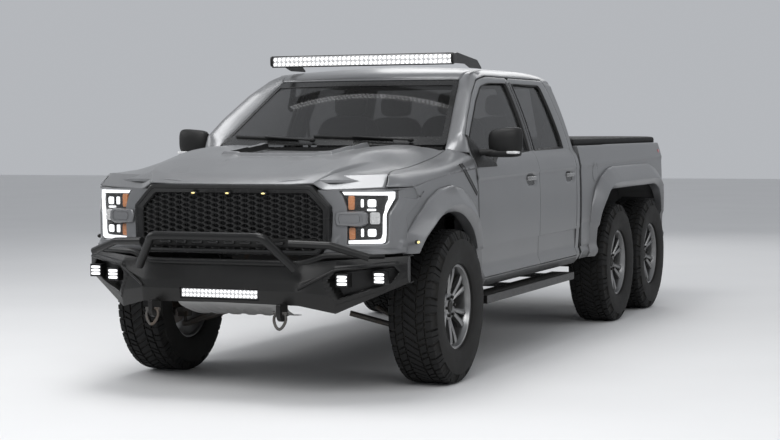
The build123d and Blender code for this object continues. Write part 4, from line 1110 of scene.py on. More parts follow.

# Belts: woven straps from the pillars down beside the seats.
belt_web = Finish("belt_web", {"Sheen Weight": 0.2}, None, (40, 0.1, 0.65))
weft = (belt_web.axis("Z") * 1500).wave().rise(-0.5, 0.5)
belt_web.feed({"Base Color": belt_web.mix(weft, grey(0.02), grey(0.042))})
belts = []
for side, hand in SIDES:
    for top, low in (((0.8, 1.835, 1.73), (0.64, 1.64, 0.96)), ((0.79, 2.7, 1.7), (0.65, 2.56, 0.96))):
        t = linspace(0, 1, 17)[:, None]
        line = array(top) * (1 - t) + array(low) * t + [0.012, 0, 0] * sin(t * HALF_TURN)
        line = line * [side, 1, 1] + [0, FRONT_AXLE, 0]
        belts.append(patch(stack([line + [0, -0.023, 0], line + [0, 0.023, 0]], 1)))
make("belts", belts, belt_web, centre=(1.8, 1.2), wall=0.0015, edge=0)

# ---------- cargo bed
# A steel load box on the same flank lines as the cab, open behind. Its sides are single pressings
# stretched over both rear wheels; the inside is sprayed with a rough black liner.
BED_FRONT, BED_REAR = 2.85, 5.4
REAR_CREASE = [(3.06, 0.56), (3.075, 0.8), (3.11, 0.96), (3.2, 1.085), (3.35, 1.17), (3.56, 1.228),
    (3.7, 1.243), (4.86, 1.243), (5.06, 1.205), (5.22, 1.12), (5.33, 1), (5.392, 0.86), (5.398, 0.56)]
BED_TOP = [2.96, 2.985, 3.02, 3.08, 3.2, 3.42, 3.6, 4.9, 5.08, 5.22, 5.3, 5.35, 5.385]
UNDER_FLARE = 0.02

liner = Finish("bed_liner", {}, (5, 0.018, 0.03), (90, 0.2, 0.65))
liner.bump(liner.noise(420, 5), 0.0016, 0.9)


bed_marks = cut_marks((6, 6, 8, 8, 8, 8, 6, 60, 8, 8, 8, 6, 6, 1))
low = read([(BED_FRONT, 0.56)] + REAR_CREASE + [(BED_REAR, 0.56)], bed_marks)
low[:, 1] -= UNDER_FLARE * ramp(low[:, 0], 3.04, 3.2) * (1 - ramp(low[:, 0], 5.3, 5.39))
high = read([(d, RAIL_Z) for d in [BED_FRONT] + BED_TOP + [BED_REAR]], bed_marks)
crease_d = low[:, 0] + (high[:, 0] - low[:, 0]) * 0.75
crease_line = spots(crease_d, shoulder(crease_d))
below_crease = minimum(low[:, 1], crease_line[:, 1] - 0.004)
lower_bed = between(spots(low[:, 0], below_crease), crease_line, linspace(0, 1, 18) ** 0.9)
upper_bed = between(crease_line, high, linspace(0, 1, 9))
bed_flank = concatenate([lower_bed, upper_bed[1:]])
bed_grid = on_flank(bed_flank, bed=True)
FUEL_DOOR, FUEL_R = (3.235, 1.205), 0.082
rail_edge = bed_grid[-1]
cap_lines = [rail_edge, rail_edge + [-0.006, 0, 0.006], rail_edge + [-0.045, 0, 0.006], rail_edge
    + [-0.05, 0, -0.01]]
bed_side = [patch(bed_grid), patch(stack(cap_lines))]


def faces_load(centres, normals):
    """Faces that look into the load space, and the underside, are lined."""
    d, z = centres[:, 1] - FRONT_AXLE, centres[:, 2]
    in_box = (abs(centres[:, 0]) < 0.935) & (d > 2.9) & (d < 5.345) & (z > 0.86) & (z < 1.409)
    return in_box | (z < 0.84) & (abs(centres[:, 0]) < 0.96)


inner_copy("cargo_inner", "cargo_box", [paint, liner], "root", 0.004, faces_load)
make("bed_skin", both(bed_side), paint, centre=(4.1, 1), merge=4e-4, wall=0.006)

# Fuel door: a round flap in a dished surround, on the driver's side only.
dish_ring = circle(48)
dish_lines = []
for reach, sink in ((1, -0.0012), (0.9, -0.0012), (0.885, 0.002), (0.86, 0.002), (0.845, -0.0018),
    (0.5, -0.0024), (0, -0.0026)):
    d = FUEL_DOOR[0] + FUEL_R * reach * cos(dish_ring)
    z = FUEL_DOOR[1] + FUEL_R * 1.05 * reach * sin(dish_ring)
    line = on_flank(spots(d, z), bed=True)
    line[:, 0] -= sink
    dish_lines.append(line)
make("fuel_door", [hoop(stack(dish_lines))], paint, centre=(3.2, 1.1), smooth=20)

# Bed floor: pressed ribs under the liner, between the wheel boxes.
floor_low, floor_high = 0.8705, 0.884
rib_x = linspace(-0.915, 0.915, 245)
rib_z = floor_low + (floor_high - floor_low) * ramp(abs(((rib_x / 0.122) % 1) - 0.5), 0.12, 0.2)
rib_y = at(linspace(2.93, 5.3, 12))[:, None]
rib_grid = spots(rib_x[None], rib_y, rib_z[None])[:, abs(rib_x) < 0.655]
make("bed_floor", [patch(rib_grid)], liner, centre=(4, 0.5))

# ---------- tonneau cover
# Soft black vinyl stretched over slats between side rails, hinged at the front of the bed.
COVER_TOP, COVER_X = RAIL_Z + 0.066, 0.945
COVER_D = (BED_FRONT + 0.015, 5.385)
vinyl = Finish("tonneau_skin", {"Specular IOR Level": 0.18}, (2.2, 0.01, 0.018, 6), (6, 0.12, 0.58))
weave = (vinyl.axis("X") * 2600).wave() * (vinyl.axis("Y") * 2600).wave()
vinyl.bump(weave, 0.0006, 0.5)
cover_x = concatenate([[-COVER_X, -COVER_X, -COVER_X + 0.004, -COVER_X + 0.014], linspace(-0.9, 0.9, 31),
    [COVER_X - 0.014, COVER_X - 0.004, COVER_X, COVER_X]])
EDGE_DROP = [0.052, 0.02, 0.008, 0.003]
cover_drop = concatenate([EDGE_DROP, np.zeros(31), EDGE_DROP[::-1]])
cover_s = concatenate([[0, 0, 0.002, 0.006], linspace(0.015, 0.985, 121), [0.994, 0.998, 1, 1]])
cover_end = concatenate([EDGE_DROP, np.zeros(121), EDGE_DROP[::-1]])
slat = 0.0035 * abs(sin(cover_s * HALF_TURN * 9)) ** 0.5
inner_share = 1 - (abs(cover_x) / COVER_X) ** 6
cover_z = (COVER_TOP - 0.006 - maximum(cover_drop[None], cover_end[:, None])
    + 0.006 * inner_share[None] * (cover_end[:, None] == 0) - (0.0035 - slat)[:, None] * inner_share[None])
cover_y = at(COVER_D[0] + (COVER_D[1] - COVER_D[0]) * cover_s)[:, None]
cover_grid = spots(cover_x[None], cover_y, cover_z)
cover = make("tonneau_vinyl", [patch(cover_grid)], vinyl, "tonneau", centre=(4, 1), smooth=50, merge=1e-5,
    wall=0.003, edge=0)
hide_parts("tonneau_cover")

# ---------- tailgate and tail lamps
# A pressed gate with a raised centre field between two hinges and a latch handle at the top, and
# tall lamps with a red lens over faceted reflectors, screwed into the ends of the bed sides.
gate_low, gate_high = (array(corner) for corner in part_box("tailgate"))
gate_x = linspace(gate_low[0], gate_high[0], 87)[None, :]
gate_z = linspace(gate_low[2], gate_high[2], 49)[:, None]
gate_half = (gate_high[0] - gate_low[0]) / 2
field = ramp(gate_half - abs(gate_x), 0.045, 0.062) * ramp(gate_z, 0.915, 0.932) * (1
    - ramp(gate_z, 1.205, 1.222))
brow = ramp(gate_z, 1.28, 1.345) * 0.01
pocket = (1 - ramp(hypot(abs(gate_x / 0.125) ** 2, abs((gate_z - 1.262) / 0.034) ** 2), 0.75, 1))
edge_roll = 0.012 * (ramp(abs(gate_x), gate_half - 0.012, gate_half) ** 2)
gate_y = gate_high[1] - 0.012 + field * 0.006 + brow * (1 - pocket) - pocket * 0.022 - edge_roll
gate_front = spots(gate_x, gate_y, gate_z)
gate_wall = concatenate([gate_front[0], gate_front[1:, -1], gate_front[-1, -2::-1], gate_front[-2:0:-1, 0]])
gate_rear_wall = gate_wall * [1, 0, 1] + [0, gate_low[1] + 0.003, 0]
gate_inner = spots(gate_x, gate_low[1] + 0.003 + 0.006 * field, gate_z)
gate = make("tailgate_skin", [patch(gate_front), patch(gate_inner, finish=1),
    hoop(stack([gate_wall, gate_rear_wall]))], [paint, liner], "tailgate", centre=(5.35, 1.1))
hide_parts("tailgate")
gate_handle = swept([(x, gate_high[1] - 0.01 - 0.004 * (abs(x) / 0.09) ** 3, 1.268)
    for x in linspace(-0.095, 0.095, 13)], 0.007, 0.013)
make("tailgate_handle", gate_handle, moulded, "tailgate", closed=True)

lamp_red = Finish("lamp_red", {"Coat Weight": 0.9, "Coat Roughness": 0.03, "Emission Strength": 0.25,
    "Emission Color": (0.35, 0.01, 0.01, 1)}, None, (14, 0.08, 0.1))
bands = (lamp_red.axis("Z") * 300).wave().rise(-0.6, 0.6)
lamp_red.feed({"Base Color": lamp_red.mix(bands, (0.22, 0.008, 0.01, 1), (0.36, 0.015, 0.02, 1))})
lamp_red.bump(lamp_red.cells(160), 0.001, 0.5)
wrap = linspace(0, 1, 25)
WRAP_AT = [0, 0.62, 0.78, 0.9, 1]
lamp_plan = spots(interp(wrap, WRAP_AT, [0.852, 0.965, 0.99, 1.0005, 1.0035]),
    interp(wrap, WRAP_AT, [0.063, 0.063, 0.05, 0.025, -0.02]) + at(5.34))
lamp_z = concatenate([[0.962, 0.966], linspace(0.975, 1.345, 45), [1.354, 1.358]])
lamp_in = concatenate([[0.01, 0.003], np.zeros(45), [0.003, 0.01]])
rib_relief = 0.0018 * (sin(lamp_z * 150) > 0) * (abs(lamp_z - 1.16) > 0.035)
white_rows = abs((lamp_z[:-1] + lamp_z[1:]) / 2 - 1.16) < 0.034
tail_grid = spots(lamp_plan[None, :, 0] - (lamp_in + rib_relief)[:, None] * 0.4 + 0 * lamp_z[:, None],
    lamp_plan[None, :, 1] - (lamp_in + rib_relief)[:, None], lamp_z[:, None])
tail_marks = broadcast_to(white_rows[:, None], (len(lamp_z) - 1, 24)).ravel().astype(int)
tail = make("tail_lamps", both([patch(tail_grid, finish=tail_marks)]), [lamp_red, lamp_clear],
    centre=(5.2, 1.15), wall=0.012, edge=0.0015)
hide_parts("tail_lights")

# ---------- rear bumper
# Folded steel plate in black powder coat with a rubber step pad, a hitch receiver and two brackets.
coat = Finish("bumper_coat", {"Specular IOR Level": 0.32}, (4, 0.005, 0.009, 5), (12, 0.12, 0.26),
    (0.3, 0.9, 0.05))
coat.bump(coat.noise(480, 4), 0.0009, 0.6)


def all_first(centres, normals):
    """Every face takes the first finish."""
    return np.zeros(len(centres))


soften(inner_copy("rear_bumper_shell", "rear_bumper", [coat], "root", 0, all_first), 0.008, 3)
step_x = linspace(-0.36, 0.36, 145)[None, :]
step_y = at(linspace(5.418, 5.492, 25))[:, None]
step_z = 0.7402 + 0.0035 * ((sin(step_x * TURN / 0.03) > 0) & (sin(step_y * 400) > -0.6))
make("step_pad", [patch(spots(step_x, step_y, step_z))], rubber, centre=(5.45, 0.6),
    smooth=20)

# ---------- fender flares
# Wide painted flares bolted over the wheel openings: a band chamfered towards the tyre, a broad face
# and a thin edge that stands off the flank on a rubber bead.
FRONT_OPENING = concatenate([[(0.495, 0.5)], arc((0.492, 0.6), (0.352, 0.868), (-0.11, 1.052), 40),
    arc((-0.11, 1.052), (-0.395, 0.992), (-0.6, 0.838), 30)[1:]])
FRONT_CREASE = [(0.507, 0.5), (0.507, 0.934), (0.417, 1.04), (0.3, 1.128), (0.16, 1.188), (0, 1.211),
    (-0.2, 1.195), (-0.374, 1.141), (-0.54, 1.054), (-0.665, 0.963), (-0.714, 0.838)]
REAR_OPENING = concatenate([[(3.174, 0.56)], arc((3.19, 0.69), (3.33, 0.958), (3.6, 1.068), 30),
    [(4.94, 1.068)], arc((4.94, 1.068), (5.222, 0.95), (5.34, 0.7), 30)[1:], [(5.346, 0.56)]])


def tuck(d):
    """How far the side is drawn in towards the lamp."""
    return interp(d, [-0.85, -0.7, -0.5, 0], [0.048, 0.03, 0.01, 0])


def along(line, shares):
    """Points at these shares of a polyline's length."""
    line = asarray(line, float)
    run = concatenate([[0], np.cumsum(np.linalg.norm(np.diff(line, axis=0), axis=1))])
    return stack([interp(asarray(shares) * run[-1], run, line[:, k]) for k in range(2)], -1)


def matched(outer, opening, turns, count):
    """Points on the outer crease and on the opening where the same ray from a centre line meets them:
    turns pairs the shares of their lengths that belong together."""
    shares = linspace(0, 1, count)
    return along(outer, interp(shares, turns[0], turns[1])), along(opening, interp(shares, turns[0],
        turns[2]))


def flare(crease, opening, width):
    """Flare skin: lines at set shares from the opening to the crease, each standing off the flank by
    its part of the width there; the first lines turn in behind the edge. width is two rows:
    distances, and the widths at them."""
    shares = array([0, 0, 0, 0.03, 0.15, 0.28, 0.3, 0.34, 0.55, 0.75, 0.9, 0.955, 0.975, 1, 1])
    stand = array([np.nan, 0.3, 0.52, 0.6, 0.8, 0.99, 1, 0.985, 0.8, 0.58, 0.38, 0.29, 0.24, 0.16, -0.1])
    lines = []
    for share, off in zip(shares, stand):
        side_view = opening + (crease - opening) * share
        line = on_flank(side_view)
        base = minimum(line[:, 0], 1.016) - share * tuck(side_view[:, 0])
        line[:, 0] = 0.985 if np.isnan(off) else base + interp(side_view[:, 0], *width) * off
        lines.append(line)
    return [patch(stack(lines))]


FRONT_WIDTH = ((-0.74, -0.46, 0.3, 0.507), (0.026, 0.078, 0.078, 0.042))
REAR_WIDTH = ((3.04, 3.3, 5.15, 5.41), (0.024, 0.078, 0.078, 0.02))
front_outer, front_inner = matched(FRONT_CREASE, FRONT_OPENING, ([0, 0.22, 0.55, 1], [0, 0.235, 0.575, 1],
    [0, 0.22, 0.55, 1]), 120)
rear_outer, rear_inner = matched(REAR_CREASE, REAR_OPENING, ([0, 0.16, 0.235, 0.7, 0.8, 1],
    [0, 0.18, 0.245, 0.66, 0.775, 1], [0, 0.16, 0.235, 0.7, 0.8, 1]), 110)
flare_sheets = flare(front_outer, front_inner, FRONT_WIDTH) + flare(rear_outer, rear_inner, REAR_WIDTH)
flares = make("flare_skins", both(flare_sheets), paint, centre=(1.5, 0.6), merge=1e-4, smooth=30,
    wall=0.004, edge=0.0012)
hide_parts("fender_flares")

# Side marker: an amber oval lamp at the front foot of each front flare.
marker_amber = Finish("marker_amber", {"Coat Weight": 0.8, "Emission Strength": 0.9,
    "Emission Color": (1, 0.82, 0.35, 1)}, (90, (0.75, 0.55, 0.12, 1), (0.9, 0.75, 0.3, 1)), (50, 0.1, 0.2))
marker_at = (1.052, at(-0.668), 0.905)
marker_rim = pillow(marker_at, (0.012, 0.03, 0.0135), 2, (10, 24))
marker_lens = pillow((marker_at[0] + 0.004, marker_at[1], marker_at[2]), (0.012, 0.022, 0.009), 2, (10, 24),
    1)
make("side_markers", both([marker_rim, marker_lens]), [gloss_black, marker_amber],
    closed=True)

# Inner wheel liners: moulded arches behind the flares.
dress(moulded, "wheel_liners")

# ---------- hood
# One steel pressing with two long domes, hinged behind. A bright facet falls from its front corners
# to the lamps, and a raised bezel in the middle frames a black louvred panel.
HOOD_D = [-0.83, -0.7, -0.5, -0.2, 0, 0.25, 0.45]
HOOD_W = [0, 0.18, 0.36, 0.54, 0.7, 0.85, 1]
HOOD_Z = array([(1.3, 1.3, 1.303, 1.31, 1.3155, 1.319, 1.326), (1.33, 1.33, 1.334, 1.339, 1.34, 1.328,
    1.318), (1.378, 1.378, 1.38, 1.383, 1.382, 1.356, 1.314), (1.408, 1.408, 1.411, 1.422, 1.43, 1.412,
    1.33), (1.418, 1.418, 1.422, 1.438, 1.448, 1.43, 1.352), (1.428, 1.428, 1.434, 1.448, 1.454, 1.44,
    1.388), (1.44, 1.44, 1.446, 1.453, 1.456, 1.449, 1.432)])
HOOD_SIDE = concatenate([[(0.94, -0.9)], arc((0.932, -0.8), (0.868, -0.63), (0.84, -0.42), 30),
    [(0.826, 0.392), (0.826, 0.52)]])
DOME_STEP = 0.028
BEZEL_X, BEZEL_D, BEZEL_H = 0.362, -0.33, 0.019


def hood_edge(d):
    """Half-width of the hood at a distance."""
    return interp(d, HOOD_SIDE[:, 1], HOOD_SIDE[:, 0])


def dome_edge(d):
    """Where the raised middle field ends at the front."""
    return 0.587 + (clip(d, -0.83, -0.45) + 0.83) * 0.3


def hood_z(x, d):
    """Hood height: station profiles blended both ways, less the step at the dome's edge, a crease
    that runs out to the sides, and the bezel's lip and rails."""
    x, d = np.broadcast_arrays(abs(x), d)
    share = x / hood_edge(d)
    height = sum(curve(share, HOOD_W, unit) * curve(d, HOOD_D, column) for unit, column in zip(np.eye(7),
        HOOD_Z.T))
    height = height - DOME_STEP * (1 - ramp(d, -0.83, -0.45)) * ramp(x, dome_edge(d), dome_edge(d) + 0.032)
    crease = interp(d, [-0.95, -0.7, -0.2, -0.05, 0.08, 0.18], [0.19, 0.222, 0.288, 0.34, 0.46, 0.72])
    fade = ramp(d, -0.8, -0.55) * (1 - ramp(d, 0.1, 0.2))
    return height - 0.007 * fade * (1 - ramp(x, crease - 0.01, crease + 0.002))


def bezel(x, d):
    """Rise of the lip and rails round the louvred panel, and the fall inside them."""
    x, d = np.broadcast_arrays(abs(x), d)
    reach = maximum(x - BEZEL_X, BEZEL_D - d)
    tall = BEZEL_H + 0.012 * ramp(d, -0.25, 0.15)
    return tall * (1 - ramp(reach, 0, 0.018)) - (tall + 0.006) * (1 - ramp(reach, -0.034, -0.028))


HOOD_U = runs(0, 21, 0.325, 14, 0.385, 13, 0.587, 5, 0.619, 19, 0.94)
u = HOOD_U[None, :]


def spaced(targets):
    """Columns of the hood's grid, stretched so that its lines follow the dome's edge and the seam."""
    marks = np.eye(5)
    return sum(interp(u, [0, 0.4, 0.587, 0.619, 0.94], mark) * target for mark, target in zip(marks,
        targets))


# Front edge over the grille and lamps, and the line where the facet turns into the top.
EDGE_U = [0, 0.4, 0.587, 0.619, 0.66, 0.8, 0.94]
lip_x = interp(HOOD_U, EDGE_U, [0, 0.372, 0.528, 0.534, 0.588, 0.762, 0.93])
lip_d = interp(HOOD_U, EDGE_U, [-0.968, -0.96, -0.949, -0.946, -0.936, -0.903, -0.848])
lip_z = interp(HOOD_U, EDGE_U, [1.242, 1.244, 1.251, 1.246, 1.213, 1.219, 1.227])
turn_d = interp(HOOD_U, [0, 0.619, 0.8, 0.94], [-0.83, -0.83, -0.806, -0.758])
turn_x = minimum(HOOD_U, hood_edge(turn_d))
turn_line = spots(turn_x, at(turn_d), hood_z(turn_x, turn_d))
lip_line = spots(lip_x, at(lip_d), lip_z)
round_front = (1 - ramp(HOOD_U, 0.45, 0.6))[:, None]
lip_pull = (lip_line + turn_line) / 2 + round_front * [0, -0.012, 0.008]
front_rows = strip((lip_line, lip_pull, turn_line), linspace(0, 1, 10))
under_rows = stack([lip_line + [0, 0.03, -0.014], lip_line + [0, 0.01, -0.012], lip_line
    + [0, 0.001, -0.006]])
fixed_d = runs(-0.7, 19, -0.36, 17, -0.295, 80, 0.165)[:, None]
grow = linspace(0, 1, 11)[1:-1, None]
lead_d = turn_d * (1 - grow) - 0.7 * grow
trail_d = 0.165 + (0.041 + 0.186 * (HOOD_U / 0.94) ** 2) * linspace(0, 1, 9)[1:, None]
hood_d = concatenate([lead_d, broadcast_to(fixed_d, (len(fixed_d), len(HOOD_U))), trail_d])
hood_x = spaced((0, 0.4, dome_edge(hood_d), dome_edge(hood_d) + 0.032, hood_edge(hood_d)))
hood_top = spots(hood_x, at(hood_d), hood_z(hood_x, hood_d) + bezel(hood_x, hood_d))
in_panel = (hood_x < BEZEL_X - 0.03) & (hood_d > BEZEL_D + 0.03)
slats = 0.01 * (sin((hood_d - BEZEL_D) * TURN / 0.052) > 0) * (hood_x > 0.012) * (hood_x < 0.318)
hood_top[..., 2] -= slats * in_panel
hood_grid = concatenate([under_rows, front_rows, hood_top])
offset_rows = len(under_rows) + len(front_rows)
black = np.zeros((len(hood_grid) - 1, len(HOOD_U) - 1), int)
black[offset_rows:] = in_panel[1:, 1:] | in_panel[:-1, :-1]
make("hood_skin", both([patch(hood_grid, finish=black.ravel())]), [paint, moulded], "hood",
    centre=(-0.2, 0.6), merge=3e-4, smooth=22, wall=0.01, edge=0)


def looks_down(centres, normals):
    """The inner frame's faces that look down are in dull paint."""
    return normals[:, 2] < -0.3


inner_copy("hood_inner", "hood", [paint, frame_paint], "hood", 0.006, looks_down)

# ---------- front fenders
# Steel panels bolted between door, hood and lamps. Each rolls over from the hood's seam into a tall
# flat side, meets the lamp's panel at a bent line, and has a black vent let into it by the door.
seam_d = [0.507, 0, -0.3, -0.52, -0.67, -0.758]
turn_at = array([(0.99, 0.507, 1.402), (0.996, 0, 1.338), (0.992, -0.3, 1.318), (0.984, -0.54, 1.304),
    (0.966, -0.72, 1.288), (0.937, -0.802, 1.2625)])
shut_at = array([(0, 0.507, 1.305), (0, 0, 1.275), (0, -0.3, 1.248), (0, -0.554, 1.22),
    (0.979, -0.738, 1.223), (0.937, -0.846, 1.227)])


def fender_x(d, z):
    """Half-width of the fender's side, drawn in towards the lamp."""
    return interp(z, [0.53, 0.6, 0.95, 1.16, 1.22, 1.275, 1.305], [1.008, 1.012, 1.016, 1.012, 1.006, 1,
        0.997]) - tuck(d)


shut_at[:4, 0] = fender_x(shut_at[:4, 1], shut_at[:4, 2])
stage = linspace(0, 5, 81)
seam_at_d = curve(stage, range(6), seam_d)
seam_line = spots(hood_edge(seam_at_d) + 0.007, at(seam_at_d), hood_z(hood_edge(seam_at_d), seam_at_d))
pull_line, shut_line = read(turn_at, stage, curve), read(shut_at, stage, curve)
for line in (pull_line, shut_line):
    line[:, 1] += FRONT_AXLE
fender_top = strip((seam_line, pull_line, shut_line), linspace(0, 1, 14))
edge_roll = fender_top[0] + [-0.002, 0, -0.012]
fender_rows = concatenate([edge_roll[None], fender_top])

side_stage = linspace(0, 3, 61)
side_top = read(shut_at[:, 1:], side_stage, curve)
side_low = along(FRONT_CREASE[1:], interp(side_stage, [0, 1, 3], [0, 0.36, 1]))
side_view = between(side_top, side_low, linspace(0, 1, 27))
BENT = [(-0.554, 1.22), (-0.494, 1.147), (-0.681, 1.055), (-0.655, 0.961), (-0.668, 0.86), (-0.712, 0.838)]
bent = rounded(BENT, 0.012)
bent_run = linspace(0, 1, 27)
front_line = along(bent, bent_run)
gap = front_line - side_view[:, -1]
side_view = side_view + gap[:, None, :] * ramp(side_stage, 2, 3)[None, :, None]
fender_side = spots(fender_x(side_view[..., 0], side_view[..., 1]), at(side_view[..., 0]),
    side_view[..., 1])
rear_foot = spots(linspace(0.5, 0.507, 2)[None, :], linspace(0.5, 0.934, 12)[:, None])
fenders = make("fender_skins", both([patch(fender_rows), patch(fender_side), patch(on_flank(rear_foot))]),
    paint, centre=(0.2, 0.6), merge=6e-4, smooth=25, wall=0.006, edge=0)
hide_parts("front_fenders")

# Vents: a slanting slot with a hooked top, a dark well behind a thin bright lip.
VENT = [(0.212, 1.333), (0.268, 1.338), (0.3, 1.318), (0.318, 1.292), (0.482, 1.15), (0.47, 1.128),
    (0.44, 1.15)]
vent_line = rounded(array(VENT + VENT[:1]), 0.006)
vent_centre = array([0.34, 1.24])
vent_floor = vent_centre + (vent_line[:, 1:] - vent_centre[1]) * [-1.15, 1]
vent_lines = []
for share, out in ((1, -0.002), (1, 0.003), (0.95, 0.004), (0.91, 0.003), (0.9, 0.0015), (0, 0.0015)):
    d, z = (vent_line * share + vent_floor * (1 - share)).T
    vent_lines.append(spots(fender_x(d, z) + out - 0.01 * ramp(z, 1.285, 1.345), at(d), z))
vent_grid = stack(vent_lines)
vent_marks = np.repeat([0, 0, 0, 1, 1], len(vent_line) - 1)
make("fender_vents", both([patch(vent_grid, finish=vent_marks)]), [moulded, frame_paint], centre=(0.3, 1),
    merge=1e-4, smooth=20)

# ---------- engine bay
# A cast block under a ribbed moulded cover, with an air box and its duct on one side and a battery,
# a fuse box and a coolant tank on the other, all standing on the wheel liners' tops.
cover_u = linspace(-1, 1, 61)[:, None]
cover_v = linspace(-1, 1, 73)[None, :]
edge_fall = maximum(abs(cover_u), abs(cover_v)) ** 14
engine_ribs = (abs(cover_u) > 0.42) & (abs(cover_u) < 0.86) & (abs(cover_v) < 0.86)
cover_rise = (0.07 * (1 - edge_fall) + 0.01 * (sin(cover_v * 34) > 0) * engine_ribs
    - 0.012 * (abs(cover_u) < 0.3) * (abs(cover_v) < 0.9))
cover_top = spots(cover_u * 0.265, at(0.01) + cover_v * 0.35, 1.202 + cover_rise)
make("engine_cover", [patch(cover_top)], moulded, centre=(0, 1), smooth=30)
tank_white = Finish("tank_plastic", {"Specular IOR Level": 0.4}, (4, 0.42, 0.55), (30, 0.15, 0.4))
bay_parts = [pillow((-0.56, at(-0.22), 1.165), (0.13, 0.17, 0.085), 5.5, (22, 44)),
    pillow((0.61, at(0.19), 1.165), (0.125, 0.086, 0.085), 9, (22, 44)), pillow((0.61, at(0.19), 1.252),
    (0.118, 0.079, 0.01), 7, (14, 36), 1), pillow((0.6, at(-0.12), 1.15), (0.09, 0.13, 0.06), 6, (18, 36)),
    pillow((-0.61, at(0.17), 1.165), (0.1, 0.13, 0.08), 3.6, (24, 44), 2), pillow((-0.61, at(0.12), 1.255),
    (0.03, 0.03, 0.02), 3, (14, 28))]
for x in (0.545, 0.675):
    bay_parts.append(pillow((x, at(0.15), 1.268), (0.012, 0.012, 0.012), 3, (10, 20), 3))
duct_marks = linspace(0, 3, 61)
duct_path = stack([curve(duct_marks, range(4), track) for track in ([-0.44, -0.35, -0.25, -0.14],
    at(array([-0.23, -0.215, -0.15, -0.08])), [1.18, 1.225, 1.262, 1.275])], -1)
duct_size = 0.036 + 0.004 * (arange(61) % 4 < 2)
bay_parts += swept(duct_path, duct_size, duct_size, power=2, count=22)
make("engine_bay", bay_parts, [moulded, gloss_black, tank_white, alloy], closed=True)

# ---------- lamp surrounds
# Painted panels between grille, lamps and fenders, wrapped round the corners of the nose. A small
# ledge runs out from each lamp, and the foot of the panel kicks forward in a bright step.
NOSE = concatenate([arc((0, -0.96), (0.34, -0.95), (0.664, -0.922), 24),
    arc((0.664, -0.922), (0.812, -0.893), (0.936, -0.846), 16)[1:], arc((0.936, -0.846), (0.978, -0.776),
    (0.99, -0.7), 16)[1:], [(0.999, -0.554), (1.004, -0.45)]])
NOSE_RUN = concatenate([[0], np.cumsum(np.linalg.norm(np.diff(NOSE, axis=0), axis=1))])


def run_x(x):
    """Distance along the nose to this half-width."""
    return interp(x, NOSE[:, 0], NOSE_RUN)


def run_d(d):
    """Distance along the nose to this place on its side."""
    return interp(d, NOSE[:, 1], NOSE_RUN)


def on_nose(points):
    """Points given as (distance along the nose, height, how far out) laid on the front of the truck."""
    points = asarray(points, float)
    run = points[..., 0]
    here, ahead, back = (spots(*(interp(run + step, NOSE_RUN, line) for line in NOSE.T))
        for step in (0, 0.01, -0.01))
    way = unit(ahead - back)
    x, d = here[..., 0] + way[..., 1] * points[..., 2], here[..., 1] - way[..., 0] * points[..., 2]
    return spots(x, at(d), points[..., 1])


def nose_corners(corners):
    """Corners as (place, height, rise) with the place as a run along the nose: a positive place is a
    half-width, a negative one a distance on its side."""
    corners = array(corners)
    corners[:, 0] = where(corners[:, 0] < 0, run_d(corners[:, 0]), run_x(corners[:, 0]))
    return corners


# Corners of the lamp opening and of the panel's outer edge that belong together.
LAMP_CORNERS = [(0.83, 1.2055, 0), (0.984, 1.2055, -0.004), (0.984, 1.166, -0.004), (0.984, 1.16, 0.006),
    (0.951, 1.073, 0.004), (0.949, 0.95, 0.002), (0.946, 0.912, 0), (0.93, 0.9, 0), (0.722, 0.897, 0),
    (0.72, 0.91, 0), (0.722, 0.985, 0), (0.724, 1.1, 0), (0.702, 1.165, 0), (0.676, 1.2055, 0),
    (0.83, 1.2055, 0)]
PANEL_CORNERS = [(0.83, 1.2115, 0), (-0.562, 1.2125, -0.004), (-0.508, 1.152, -0.004),
    (-0.505, 1.145, 0.006), (-0.69, 1.055, 0.004), (-0.664, 0.961, 0.002), (-0.674, 0.872, 0),
    (-0.69, 0.846, 0), (0.74, 0.846, 0), (0.58, 0.846, 0), (0.632, 0.93, 0), (0.64, 1.09, 0),
    (0.594, 1.163, 0), (0.546, 1.2095, 0), (0.83, 1.2115, 0)]
bends = [0.01, 0.003, 0.003, 0.02, 0.02, 0.01, 0.01, 0.01, 0.01, 0.02, 0.02, 0.02, 0.01]
opening, border = (rounded(nose_corners(corners), bends) for corners in (LAMP_CORNERS, PANEL_CORNERS))
foot = clip((0.925 - border[:, 1]) / 0.06, 0, 1)
surround_lines = []
for share, rise, kick in ((0, -0.04, 0), (0, -0.006, 0), (0.03, -0.001, 0), (0.12, 0, 0), (0.3, 1, 0),
    (0.4, 1, 0), (0.55, 1, 1), (0.75, 1, 1), (0.93, 1, 1), (0.985, 0.9, 0.9), (1, 0.3, 0.8),
    (1, -0.6, 0.6)):
    line = opening + (border - opening) * share
    line[:, 2] = (rise if rise < 0.5 and share < 0.2 else line[:, 2] * rise) + 0.016 * kick * foot
    surround_lines.append(on_nose(line))
surround = make("lamp_surrounds", both([patch(stack(surround_lines))]), paint, centre=(-0.3, 1), smooth=24,
    wall=0.004, edge=0)
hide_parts("front_panel")

